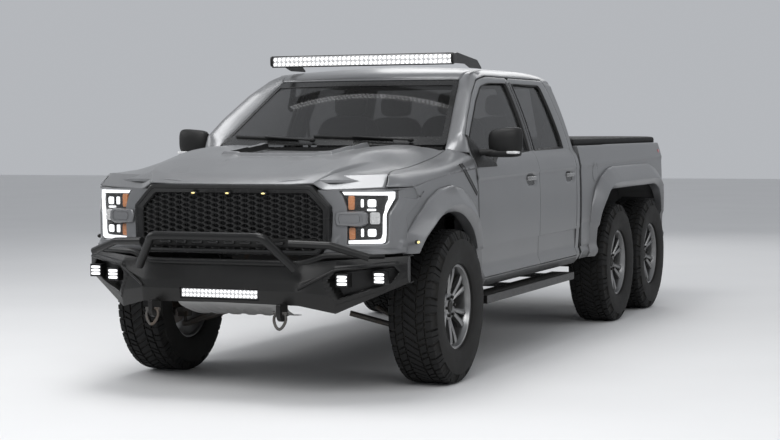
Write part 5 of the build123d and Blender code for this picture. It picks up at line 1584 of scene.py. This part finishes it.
# Bridge: a painted finger from the inner panel across the lamp, with a framed inset in its face.
bridge_out = rounded(nose_corners([(0.74, 1.088, 0), (0.66, 1.086, 0), (0.648, 1.05, 0), (0.66, 1.006, 0),
    (0.8, 1.002, 0), (0.838, 1.018, 0), (0.838, 1.072, 0), (0.812, 1.09, 0), (0.74, 1.088, 0)]),
    [0.01, 0.03, 0.01, 0.01, 0.01, 0.01, 0.01])
bridge_centre = array([run_x(0.745), 1.046, 0])
bridge_lines = []
for share, rise in ((1.03, -0.03), (1, 0.004), (0.97, 0.013), (0.9, 0.018), (0.72, 0.019), (0.7, 0.014),
    (0.55, 0.013), (0.53, 0.017), (0, 0.017)):
    line = bridge_centre + (bridge_out - bridge_centre) * [share, share, 0] + [0, 0, rise]
    bridge_lines.append(on_nose(line))
make("lamp_bridges", both([patch(stack(bridge_lines))]), paint, centre=(-0.3, 1), smooth=24)

# ---------- headlamps
# Sealed units behind a clear cover: a black ribbed housing, a white light guide round the outside, a
# projector and its frame above and below, amber side reflectors and a pale ribbed block.
lamp_white = Finish("lamp_white", {"Emission Strength": 1, "Coat Weight": 0.5, "Coat Roughness": 0.05},
    (40, 0.8, 0.9), (30, 0.1, 0.15))
lamp_white.feed({"Emission Color": lamp_white.mix(lamp_white.noise(25), grey(0.86, 0.03), grey(1, 0.03))})
lamp_amber = Finish("lamp_amber", {"Coat Weight": 0.6, "Coat Roughness": 0.1}, None, (60, 0.1, 0.22))
prisms = lamp_amber.cells(240)
lamp_amber.feed({"Base Color": lamp_amber.mix(prisms, (0.42, 0.15, 0.05, 1), (0.6, 0.24, 0.09, 1))})
lamp_amber.bump(prisms, 0.001, 0.6)
housing_black = Finish("lamp_housing", {"Coat Weight": 0.3, "Coat Roughness": 0.2}, (9, 0.01, 0.02),
    (30, 0.1, 0.25))
cover_clear = Finish("lamp_cover", {"Coat Weight": 0.5, "Coat Roughness": 0.02}, (3, 0.5, 0.6),
    (5, 0.03, 0.02))
cover_clear.feed({"Alpha": cover_clear.noise(2) * 0.02 + 0.04})


def scaled(line, centre, share, out):
    """Outline drawn towards a centre and set at a depth."""
    moved_line = centre + (line - centre) * share
    moved_line[:, 2] = out
    return moved_line


lamp_centre = array([run_x(0.85), 1.045, 0])
inside = opening * [1, 1, 0]
lamp_shell = [patch(on_nose(stack([scaled(inside, lamp_centre, share, out)
    for share, out in ((1.02, -0.006), (1, -0.01), (0.97, -0.03))])))]
rib_z = linspace(0.905, 1.2, 148)[:, None]
rib_out = -0.034 + 0.0035 * (arange(148) % 4 < 2)[:, None]
edge_right = interp(rib_z, [0.905, 0.95, 1.073, 1.16, 1.2], run_x([0.938, 0.944, 0.945, 0.972, 0.976]))
edge_left = interp(rib_z, [0.905, 1.1, 1.165, 1.2], run_x([0.727, 0.73, 0.712, 0.69]))
rib_run = edge_left + (edge_right - edge_left) * linspace(0, 1, 20)[None, :]
lamp_shell.append(patch(on_nose(spots(rib_run, rib_z, rib_out))))
# Light guide: a flat white band just inside the opening, along its top, outer and lower sides.
GUIDE_OUT = [(0.692, 1.199), (0.976, 1.199), (0.976, 1.162), (0.941, 1.073), (0.94, 0.952), (0.934, 0.914),
    (0.918, 0.905), (0.728, 0.903)]
GUIDE_IN = [(0.712, 1.172), (0.944, 1.168), (0.944, 1.15), (0.908, 1.066), (0.906, 0.962), (0.9, 0.944),
    (0.886, 0.937), (0.728, 0.931)]
guide_bends = [0.004, 0.01, 0.014, 0.014, 0.012, 0.012]


def on_lamp(outline, out, bends):
    """Outline in (half-width, height) as a rounded line on the nose at a depth."""
    line = rounded(outline, bends)
    return spots(run_x(line[:, 0]), line[:, 1], out)


guide_out_line, guide_in_line = on_lamp(GUIDE_OUT, -0.014, guide_bends), on_lamp(GUIDE_IN, -0.014,
    guide_bends)
guide_in_line = guide_out_line + (guide_in_line - guide_out_line) * 0.68
guide_rows = [guide_out_line - [0, 0, 0.016], guide_out_line]
guide_rows += [guide_out_line * (1 - t) + guide_in_line * t + [0, 0, 0.003] for t in (0.08, 0.5, 0.92)]
guide_rows += [guide_in_line, guide_in_line - [0, 0, 0.016]]
guide = [patch(on_nose(stack(guide_rows)))]


def lamp_box(x, z, half_x, half_z, out, deep=0.02, finish=0, dome=0, power=6):
    """Rounded block on the nose: its front bulges by dome."""
    c, s = squared(circle(32), power)
    lines = [spots(run_x(x) + half_x * share * c, z + half_z * share * s, out + rise)
        for share, rise in ((1, -deep), (1, -0.002), (0.95, 0), (0.7, dome * 0.5), (0.4, dome * 0.85),
        (0, dome))]
    return hoop(on_nose(stack(lines)), finish)


projectors = []
for z in (1.134, 0.966):
    projectors += [lamp_box(0.86, z, 0.025, 0.022, -0.016, dome=0.006, power=5), lamp_box(0.806, z, 0.008,
        0.023, -0.018), lamp_box(0.86, z, 0.031, 0.028, -0.019, finish=1, power=5)]
projectors.append(lamp_box(0.858, 1.096, 0.026, 0.006, -0.016))
reflectors = [lamp_box(0.744, 1.136, 0.019, 0.04, -0.018), lamp_box(0.748, 0.962, 0.018, 0.034, -0.018)]
block_run = linspace(run_x(0.852), run_x(0.902), 41)[None, :]
block_z = linspace(1.018, 1.078, 31)[:, None]
block_out = -0.016 + 0.004 * (sin(block_run * TURN / 0.0085) > 0) * (abs(block_z - 1.048) > 0.003)
pale_block = [patch(on_nose(spots(block_run, block_z, block_out))), lamp_box(0.876, 1.048, 0.03, 0.034,
    -0.022)]
lamp_unit = make("headlamp_housings", both(lamp_shell), housing_black, centre=(0.5, 1),
    merge=1e-4, smooth=20)
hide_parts("headlights")
for part, patches, finishes, slot in (("guides", guide, lamp_white, "lamp_white"),
    ("projectors", projectors, [lamp_white, gloss_black], "lamp_white"), ("reflectors", reflectors,
    lamp_amber, "lamp_clear"), ("blocks", pale_block, lamp_clear, "lamp_clear")):
    make(f"headlamp_{part}", both(patches), finishes, centre=(0.5, 1), merge=1e-4)
cover_rows = [on_nose(scaled(inside, lamp_centre, share, -0.0045)) for share in (0.995, 0.75, 0.5, 0.25,
    0.02)]
make("headlamp_covers", both([patch(stack(cover_rows))]), cover_clear, centre=(0.5, 1),
    merge=1e-4, smooth=60)

# ---------- grille
# A moulded eight-sided frame over a honeycomb of deep cells, with three small marker lights in its
# top bar and a row of slots in its foot. A finned radiator stands behind.
FRAME_OUT = array([(0, 1.238), (0.52, 1.238), (0.637, 1.116), (0.63, 0.906), (0.566, 0.835), (0, 0.835)])
FRAME_IN = array([(0, 1.184), (0.492, 1.184), (0.582, 1.092), (0.58, 0.922), (0.53, 0.866), (0, 0.866)])
frame_out, frame_in = (rounded(line, [0.014, 0.012, 0.012, 0.012]) for line in (FRAME_OUT, FRAME_IN))


def bow(x, d, deep=0.022, half=0.62):
    """Distance of a face that curves back from d in the middle, by deep at its half-width."""
    return at(d + deep * (x / half) ** 2)


frame_lines = []
for share, d in ((0, -0.905), (0, -0.972), (0.04, -0.98), (0.14, -0.985), (0.4, -0.983), (0.46, -0.979),
    (0.85, -0.972), (0.97, -0.964), (1, -0.955), (1, -0.925)):
    outline = frame_out + (frame_in - frame_out) * share
    frame_lines.append(spots(outline[:, 0], bow(outline[:, 0], d), outline[:, 1]))
grille_frame = make("grille_frame", both([patch(stack(frame_lines))]), gloss_black, centre=(-0.9, 1.03),
    smooth=24)
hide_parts("grille")
CELL, ROW = 0.0492, 0.0296
cells = array([(i * CELL * 0.98, 1.028 + (j + 0.5 * (i % 2)) * ROW) for i in range(-12, 13)
    for j in range(-6, 7)])
limit_x = interp(cells[:, 1], [0.862, 0.922, 1.092, 1.188], [0.535, 0.59, 0.592, 0.5])
cells = cells[(abs(cells[:, 0]) < limit_x) & (cells[:, 1] > 0.858) & (cells[:, 1] < 1.194)]
HEX = [(1, -0.95), (1, -0.958), (0.86, -0.962), (0.8, -0.955), (0.78, -0.936)]
hex_x = array([0.66, 0.3, -0.3, -0.66, -0.3, 0.3]) * CELL
hex_z = array([0, 0.5, 0.5, 0, -0.5, -0.5]) * ROW
mesh_points = []
for share, d in HEX:
    x = cells[:, None, 0] + hex_x[None, :] * share
    z = cells[:, None, 1] + hex_z[None, :] * share
    mesh_points.append(spots(x, bow(x, d), z))
honeycomb = [hoop(cell) for cell in stack(mesh_points, 1)]
make("grille_honeycomb", honeycomb, trim_plastic, centre=(-0.9, 1.03), merge=1e-5,
    smooth=30)
fin_x = linspace(-0.6, 0.6, 161)[None, :]
fin_z = linspace(0.86, 1.2, 12)[:, None]
fin_d = at(-0.915 + 0.004 * (arange(161) % 2)[None, :] + 0 * fin_z)
make("radiator", [patch(spots(fin_x, fin_d, fin_z))], gloss_black, centre=(0.2, 1), smooth=20)
markers = []
for x in (-0.222, 0, 0.232):
    markers += [pillow((x, at(-0.983), 1.19), (0.022, 0.012, 0.0085), 2.6, (12, 28)),
        pillow((x, at(-0.987), 1.189), (0.013, 0.012, 0.0055), 2.4, (10, 24), 1)]
make("grille_lights", markers, [gloss_black, marker_amber], closed=True)
slot_bar = [pillow((x, at(-0.968), 0.902), (0.036, 0.016, 0.0095), 4, (10, 28))
    for x in arange(-4, 5) * 0.105]
bar_x = linspace(-0.545, 0.545, 61)
foot_lines = [spots(bar_x, bow(bar_x, d), z) for d, z in ((-0.945, 0.934), (-0.958, 0.93), (-0.966, 0.922),
    (-0.966, 0.884), (-0.96, 0.874), (-0.95, 0.868))]
make("grille_foot", [patch(stack(foot_lines))], moulded, centre=(-0.9, 0.9))
make("grille_slots", slot_bar, gloss_black, closed=True)

# ---------- front bumper
# Folded and welded steel plate in black powder coat: a deep middle beam, two wings swept back over
# pockets for the cube lamps, and a rolled tube that rises to meet the body.
BUMPER_X = [0, 0.5, 0.69, 1.042]
BUMPER_LINES = array([[(-0.985, 0.8), (-1.05, 0.8), (-1.104, 0.686), (-1.12, 0.64), (-1.104, 0.567),
    (-0.985, 0.567)], [(-0.975, 0.8), (-1.04, 0.8), (-1.096, 0.686), (-1.11, 0.64), (-1.096, 0.56),
    (-0.975, 0.56)], [(-0.9, 0.815), (-0.985, 0.815), (-1.03, 0.752), (-1.03, 0.61), (-1.01, 0.513),
    (-0.9, 0.53)], [(-0.69, 0.832), (-0.775, 0.832), (-0.79, 0.786), (-0.79, 0.712), (-0.77, 0.68),
    (-0.69, 0.68)]])
bumper_marks = runs(0, 8, 0.5, 4, 0.51, 7, 1, 18, 2, 46, 3)
bumper_x = interp(bumper_marks, range(4), BUMPER_X)
section_marks = cut_marks((3, 12, 22, 28, 3))
bumper_lines = array([read(line, section_marks) for line in BUMPER_LINES])
low_mark = minimum(bumper_marks.astype(int), 2)
share = (bumper_marks - low_mark)[:, None, None]
bumper_view = bumper_lines[low_mark] * (1 - share) + bumper_lines[low_mark + 1] * share
POCKET = array([(0.662, 0.706), (0.704, 0.752), (0.975, 0.773), (0.998, 0.742), (0.96, 0.684),
    (0.712, 0.6)])


def inside_of(x, z, corners):
    """How far a point is inside a convex outline, negative outside it."""
    reach = np.full(np.broadcast(x, z).shape, 9)
    for first, second in zip(corners, np.roll(corners, -1, 0)):
        side = unit(second - first)
        reach = minimum(reach, side[1] * (x - first[0]) - side[0] * (z - first[1]))
    return reach


in_pocket = inside_of(bumper_x[:, None], bumper_view[..., 1], POCKET)
on_face = (section_marks > 1) & (section_marks < 4)
sunk = ramp(in_pocket, -0.001, 0.007) * on_face[None, :]
plate = ramp(in_pocket, -0.03, -0.026) * (1 - ramp(in_pocket, -0.006, -0.002)) * on_face[None, :]
bar_reach = minimum(0.252 - abs(bumper_x)[:, None], 0.0315 - abs(bumper_view[..., 1] - 0.6165))
bar_pocket = ramp(bar_reach, -0.001, 0.003) * on_face[None, :]
bumper_d = bumper_view[..., 0] + 0.062 * sunk + 0.03 * bar_pocket - 0.006 * plate * ramp(bumper_x, 0.6,
    0.64)[:, None]
bumper_grid = spots(bumper_x[:, None], at(bumper_d), bumper_view[..., 1])
end_rows = between(bumper_grid[-1], bumper_grid[-1] * [1, 0, 1] + [-0.004, at(-0.735), 0], [0, 0.5, 1])
bumper = make("bumper_skin", both([patch(bumper_grid), patch(end_rows)]), coat, centre=(-0.8, 0.68),
    merge=3e-4, smooth=22, wall=0.005, edge=0.0015)
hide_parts("front_bumper")
ROLL = [(0, -1.046, 0.792), (0.25, -1.044, 0.792), (0.44, -1.036, 0.792), (0.5, -1.026, 0.797),
    (0.56, -1.01, 0.815), (0.615, -0.99, 0.835), (0.68, -0.965, 0.838), (0.8, -0.905, 0.838),
    (0.92, -0.84, 0.838)]
roll_marks = linspace(0, 8, 65)
roll_path = read(ROLL, roll_marks, curve)
roll_path[:, 1] += FRONT_AXLE
roll = swept(roll_path, 0.022, 0.02, power=2, count=20)
make("bumper_roll", both(roll), coat, closed=True)
EDGE = [(0.5, -1.1135, 0.655), (0.56, -1.09, 0.69), (0.69, -1.0365, 0.76), (0.86, -0.92, 0.776),
    (1.036, -0.797, 0.79)]
edge_path = array(EDGE) + [0, FRONT_AXLE, 0]
make("bumper_edges", both(swept(edge_path, 0.004, 0.007, count=10)), coat, closed=True)
TAB = [(-1.075, 0.572), (-1.18, 0.572), (-1.18, 0.505), (-1.16, 0.478), (-1.13, 0.47), (-1.075, 0.5)]
tab_line = rounded(array(TAB + TAB[:1]), 0.012)
tab_rows = [spots(x, at(tab_line[:, 0]), tab_line[:, 1]) for x in (0.398, 0.424)]
tab_caps = [facet(tab_rows[0][:-1]), facet(tab_rows[1][:-1])]
tabs = make("tow_tabs", both([patch(stack(tab_rows))] + tab_caps), coat, closed=True)
soften(tabs, 0.002)

# Recovery points: forged bow shackles on welded tabs below the beam.
for side, hand in SIDES:
    loop_turn = linspace(0, TURN, 41)[:, None]
    tube_turn = circle(14)[None, :]
    wide = 0.036 + 0.01 * cos(loop_turn)
    loop_x = side * 0.411 + (wide + 0.0085 * cos(tube_turn)) * sin(loop_turn)
    loop_z = 0.478 + (0.046 + 0.0085 * cos(tube_turn)) * cos(loop_turn)
    loop_y = at(-1.146) + 0.0085 * sin(tube_turn) - 0.01 * (1 - cos(loop_turn))
    shackle = [patch(spots(loop_x, loop_y, loop_z)[:-1], True, True)]
    pin = swept([(side * 0.411 - 0.046, at(-1.146), 0.52), (side * 0.411, at(-1.146), 0.52),
        (side * 0.411 + 0.046, at(-1.146), 0.52)], 0.009, 0.009, power=2, count=14)
    make(f"shackle_{hand}", shackle + pin, cast_steel, closed=True)

# ---------- bull bar
# Bent round tube over the bumper, powder coated with it, and welded to its top.
dress(coat, "bull_bar", "light_brackets")

# ---------- work lights
# Aluminium bodies with finned backs behind clear fronts: rows of diodes in reflector cups in the two
# bars, and three bright strips in each cube.
diode_light = Finish("light_face", {"Emission Strength": 1, "Coat Weight": 0.6, "Coat Roughness": 0.04},
    (30, 0.8, 0.92), (40, 0.08, 0.12))
diode_light.feed({"Emission Color": diode_light.mix(diode_light.noise(22), grey(0.84, 0.02),
    grey(0.97, 0.02))})


def diode_bar(corners, columns, rows, facing):
    """Light bar: a face of small cups, each a shallow dish round a diode, in a rim, with a plain body
    behind. corners are the face's low and high x and z; facing turns (x, z, depth) into place."""
    (low_x, low_z), (high_x, high_z) = corners
    cup_x = linspace(low_x, high_x, columns * 8 + 1)
    cup_z = linspace(low_z, high_z, rows * 8 + 1)
    x, z = np.meshgrid(cup_x, cup_z)
    pitch_x, pitch_z = (high_x - low_x) / columns, (high_z - low_z) / rows
    off_x = ((x - low_x) / pitch_x) % 1 - 0.5
    off_z = ((z - low_z) / pitch_z) % 1 - 0.5
    reach = hypot(off_x, off_z)
    deep = 0.006 * (1 - ramp(reach, 0.1, 0.44)) * (reach > 0.08)
    face_mid = (reach[:-1, :-1] + reach[1:, 1:]) / 2
    face = patch(facing(x, z, deep), finish=(face_mid > 0.37).astype(int).ravel())
    ring = array([(low_x, low_z), (high_x, low_z), (high_x, high_z), (low_x, high_z)])
    middle_of = ring.mean(0)
    rim = []
    for grow, deep in ((0, 0), (0, -0.004), (0.004, -0.005), (0.007, -0.002), (0.007, 0.012),
        (0.005, 0.014), (0.005, 0.03)):
        line = ring + sign(ring - middle_of) * grow
        rim.append(facing(line[:, 0], line[:, 1], np.full(4, deep)))
    body = hoop(stack(rim), 2)
    return [face, body]


def low_facing(x, z, deep):
    """The bumper's bar looks straight ahead."""
    return spots(x, at(-1.1) + deep + 0 * x, z)


LED_BAR = diode_bar(((-0.245, 0.592), (0.245, 0.641)), 20, 2, low_facing)
ROOF_BAR_LOW, ROOF_BAR_HIGH = 1.988, 2.053


def high_facing(x, z, deep):
    """The roof bar looks ahead and follows a slight bow."""
    return spots(x, bow(x, 0.962, 0.02, 0.668) + deep, z)


ROOF_BAR = diode_bar(((-0.66, ROOF_BAR_LOW), (0.66, ROOF_BAR_HIGH)), 40, 2, high_facing)
fin_marks = linspace(0, 1, 241)
fin_x = -0.664 + 1.328 * fin_marks
fin_line = [(1.994, 0.975), (1.988, 0.985), (1.99, 1.03), (2, 1.04), (2.046, 1.04), (2.056, 1.03),
    (2.059, 0.985), (2.055, 0.972)]
fin_grid = stack([spots(fin_x, bow(fin_x, d, 0.02, 0.668) - 0.006 * ((arange(241) % 4) < 2) * (1 < d), z)
    for z, d in fin_line])
end_caps = [pillow((x, at(0.998), 2.024), (0.01, 0.036, 0.034), 5, (14, 28), 2) for x in (-0.666, 0.666)]
light_bars = make("light_bars", LED_BAR + ROOF_BAR + [patch(fin_grid, finish=2)] + end_caps,
    [diode_light, lamp_clear, coat], centre=(1.02, 1.98), merge=1e-5, smooth=40)
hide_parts("led_lights")
cubes = []
for x, d, z in ((0.742, -1.01, 0.705), (0.925, -0.905, 0.715)):
    ring = array([(-1, -1), (1, -1), (1, 1), (-1, 1)], float)
    shell = [spots(x + ring[:, 0] * half, at(d - 0.03 + deep), z + ring[:, 1] * half)
        for half, deep in ((0.031, 0.004), (0.033, 0), (0.036, 0), (0.038, 0.003), (0.038, 0.058))]
    cubes.append(hoop(stack(shell), 1))
    cubes.append(facet([(x + a * 0.031, at(d - 0.026), z + b * 0.031) for a, b in ring], 1))
    for row in (-0.02, 0, 0.02):
        cubes.append(pillow((x, at(d - 0.027), z + row), (0.03, 0.005, 0.0078), 6, (8, 28)))
make("cube_lights", both(cubes), [diode_light, coat], centre=(-0.5, 0.7), merge=1e-5,
    smooth=30)

# Skid plate: pale aluminium with pressed ribs and a rolled lip, under the nose behind the bumper.
plate_x = linspace(-0.36, 0.36, 73)[None, :]
plate_s = linspace(0, 1, 30)[:, None]
plate_d = curve(plate_s, [0, 0.12, 0.55, 1], [-0.96, -0.95, -0.8, -0.64])
plate_z = curve(plate_s, [0, 0.12, 0.55, 1], [0.575, 0.545, 0.475, 0.455])
rib = ((sin(plate_x * TURN / 0.12) > 0.55) & (abs(plate_s - 0.55) < 0.3)) * 0.006
plate_grid = spots(plate_x * (1 - 0.15 * plate_s), at(plate_d), plate_z - rib)
skid_metal = Finish("skid_plate", {"Metallic": 0.8}, (6, 0.3, 0.4), (60, 0.2, 0.38), (0.2, 0.9, 0.3))
make("skid_plate", [patch(plate_grid)], skid_metal, centre=(-0.8, 1), smooth=30,
    wall=0.004)

# ---------- running boards
# Flat steel steps on brackets along both sills, with rows of raised grip in their treads.
dress(coat, "running_boards")
board_x = linspace(0.905, 1.04, 16)[None, :]
board_d = linspace(0.62, 2.46, 231)[:, None]
stud = (sin(board_x * TURN / 0.03) * sin(board_d * TURN / 0.04)) > 0.45
tread_z = 0.4865 + 0.0035 * stud
make("board_treads", both([patch(spots(board_x, at(board_d), tread_z))]), moulded, centre=(1.5, 0.3),
    smooth=20)

# ---------- floor and light
# A pale flat floor reaching far out on every side, and large soft lamps: one ahead, one overhead,
# weaker ones at the sides and behind, with a dim sky around.
floor_finish = Finish("floor", {"Roughness": 0.75}, (0.6, 0.7, 0.76, 5))
FLOOR_REACH = 40
floor_grid = np.zeros((2, 2, 3))
floor_grid[..., 0] = [[-FLOOR_REACH], [FLOOR_REACH]]
floor_grid[..., 1] = [-FLOOR_REACH, FLOOR_REACH]
floor_mesh = bpy.data.meshes.new("floor")
floor_mesh.from_pydata(floor_grid.reshape(-1, 3).tolist(), [], [(0, 2, 3, 1)])
floor_mesh.materials.append(floor_finish.material)
put("floor", floor_mesh)

world = bpy.data.worlds.new("studio")
world.use_nodes = True
sky = world.node_tree.nodes["Background"]
sky.inputs["Color"].default_value = (0.92, 0.95, 1, 1)
sky.inputs["Strength"].default_value = 0.5
bpy.context.scene.world = world

LAMPS = (("key", (2.5, -9.5, 6.5), (0, -1.5, 0.8), 6, 400), ("over", (-0.5, -2.2, 7), (0, -1.8, 1), 4.5,
    250), ("side", (9, 2, 5), (0, 0.5, 0.9), 7, 120), ("far", (-8, -4, 5.5), (0, -1, 0.8), 6, 200),
    ("back", (-2, 11, 6), (0, 0.5, 1), 6, 160),)
for name, spot, target, width, power in LAMPS:
    lamp_data = bpy.data.lights.new(name, "AREA")
    lamp_data.shape = "RECTANGLE"
    lamp_data.size = width
    lamp_data.size_y = width * 0.6
    lamp_data.energy = power
    back_way = unit(array(spot) - array(target))
    lamp_across = unit(np.cross([0, 0, 1], back_way))
    stand(put(name, lamp_data), lamp_across, np.cross(back_way, lamp_across), back_way, spot)

bpy.context.scene.view_settings.view_transform = "Standard"
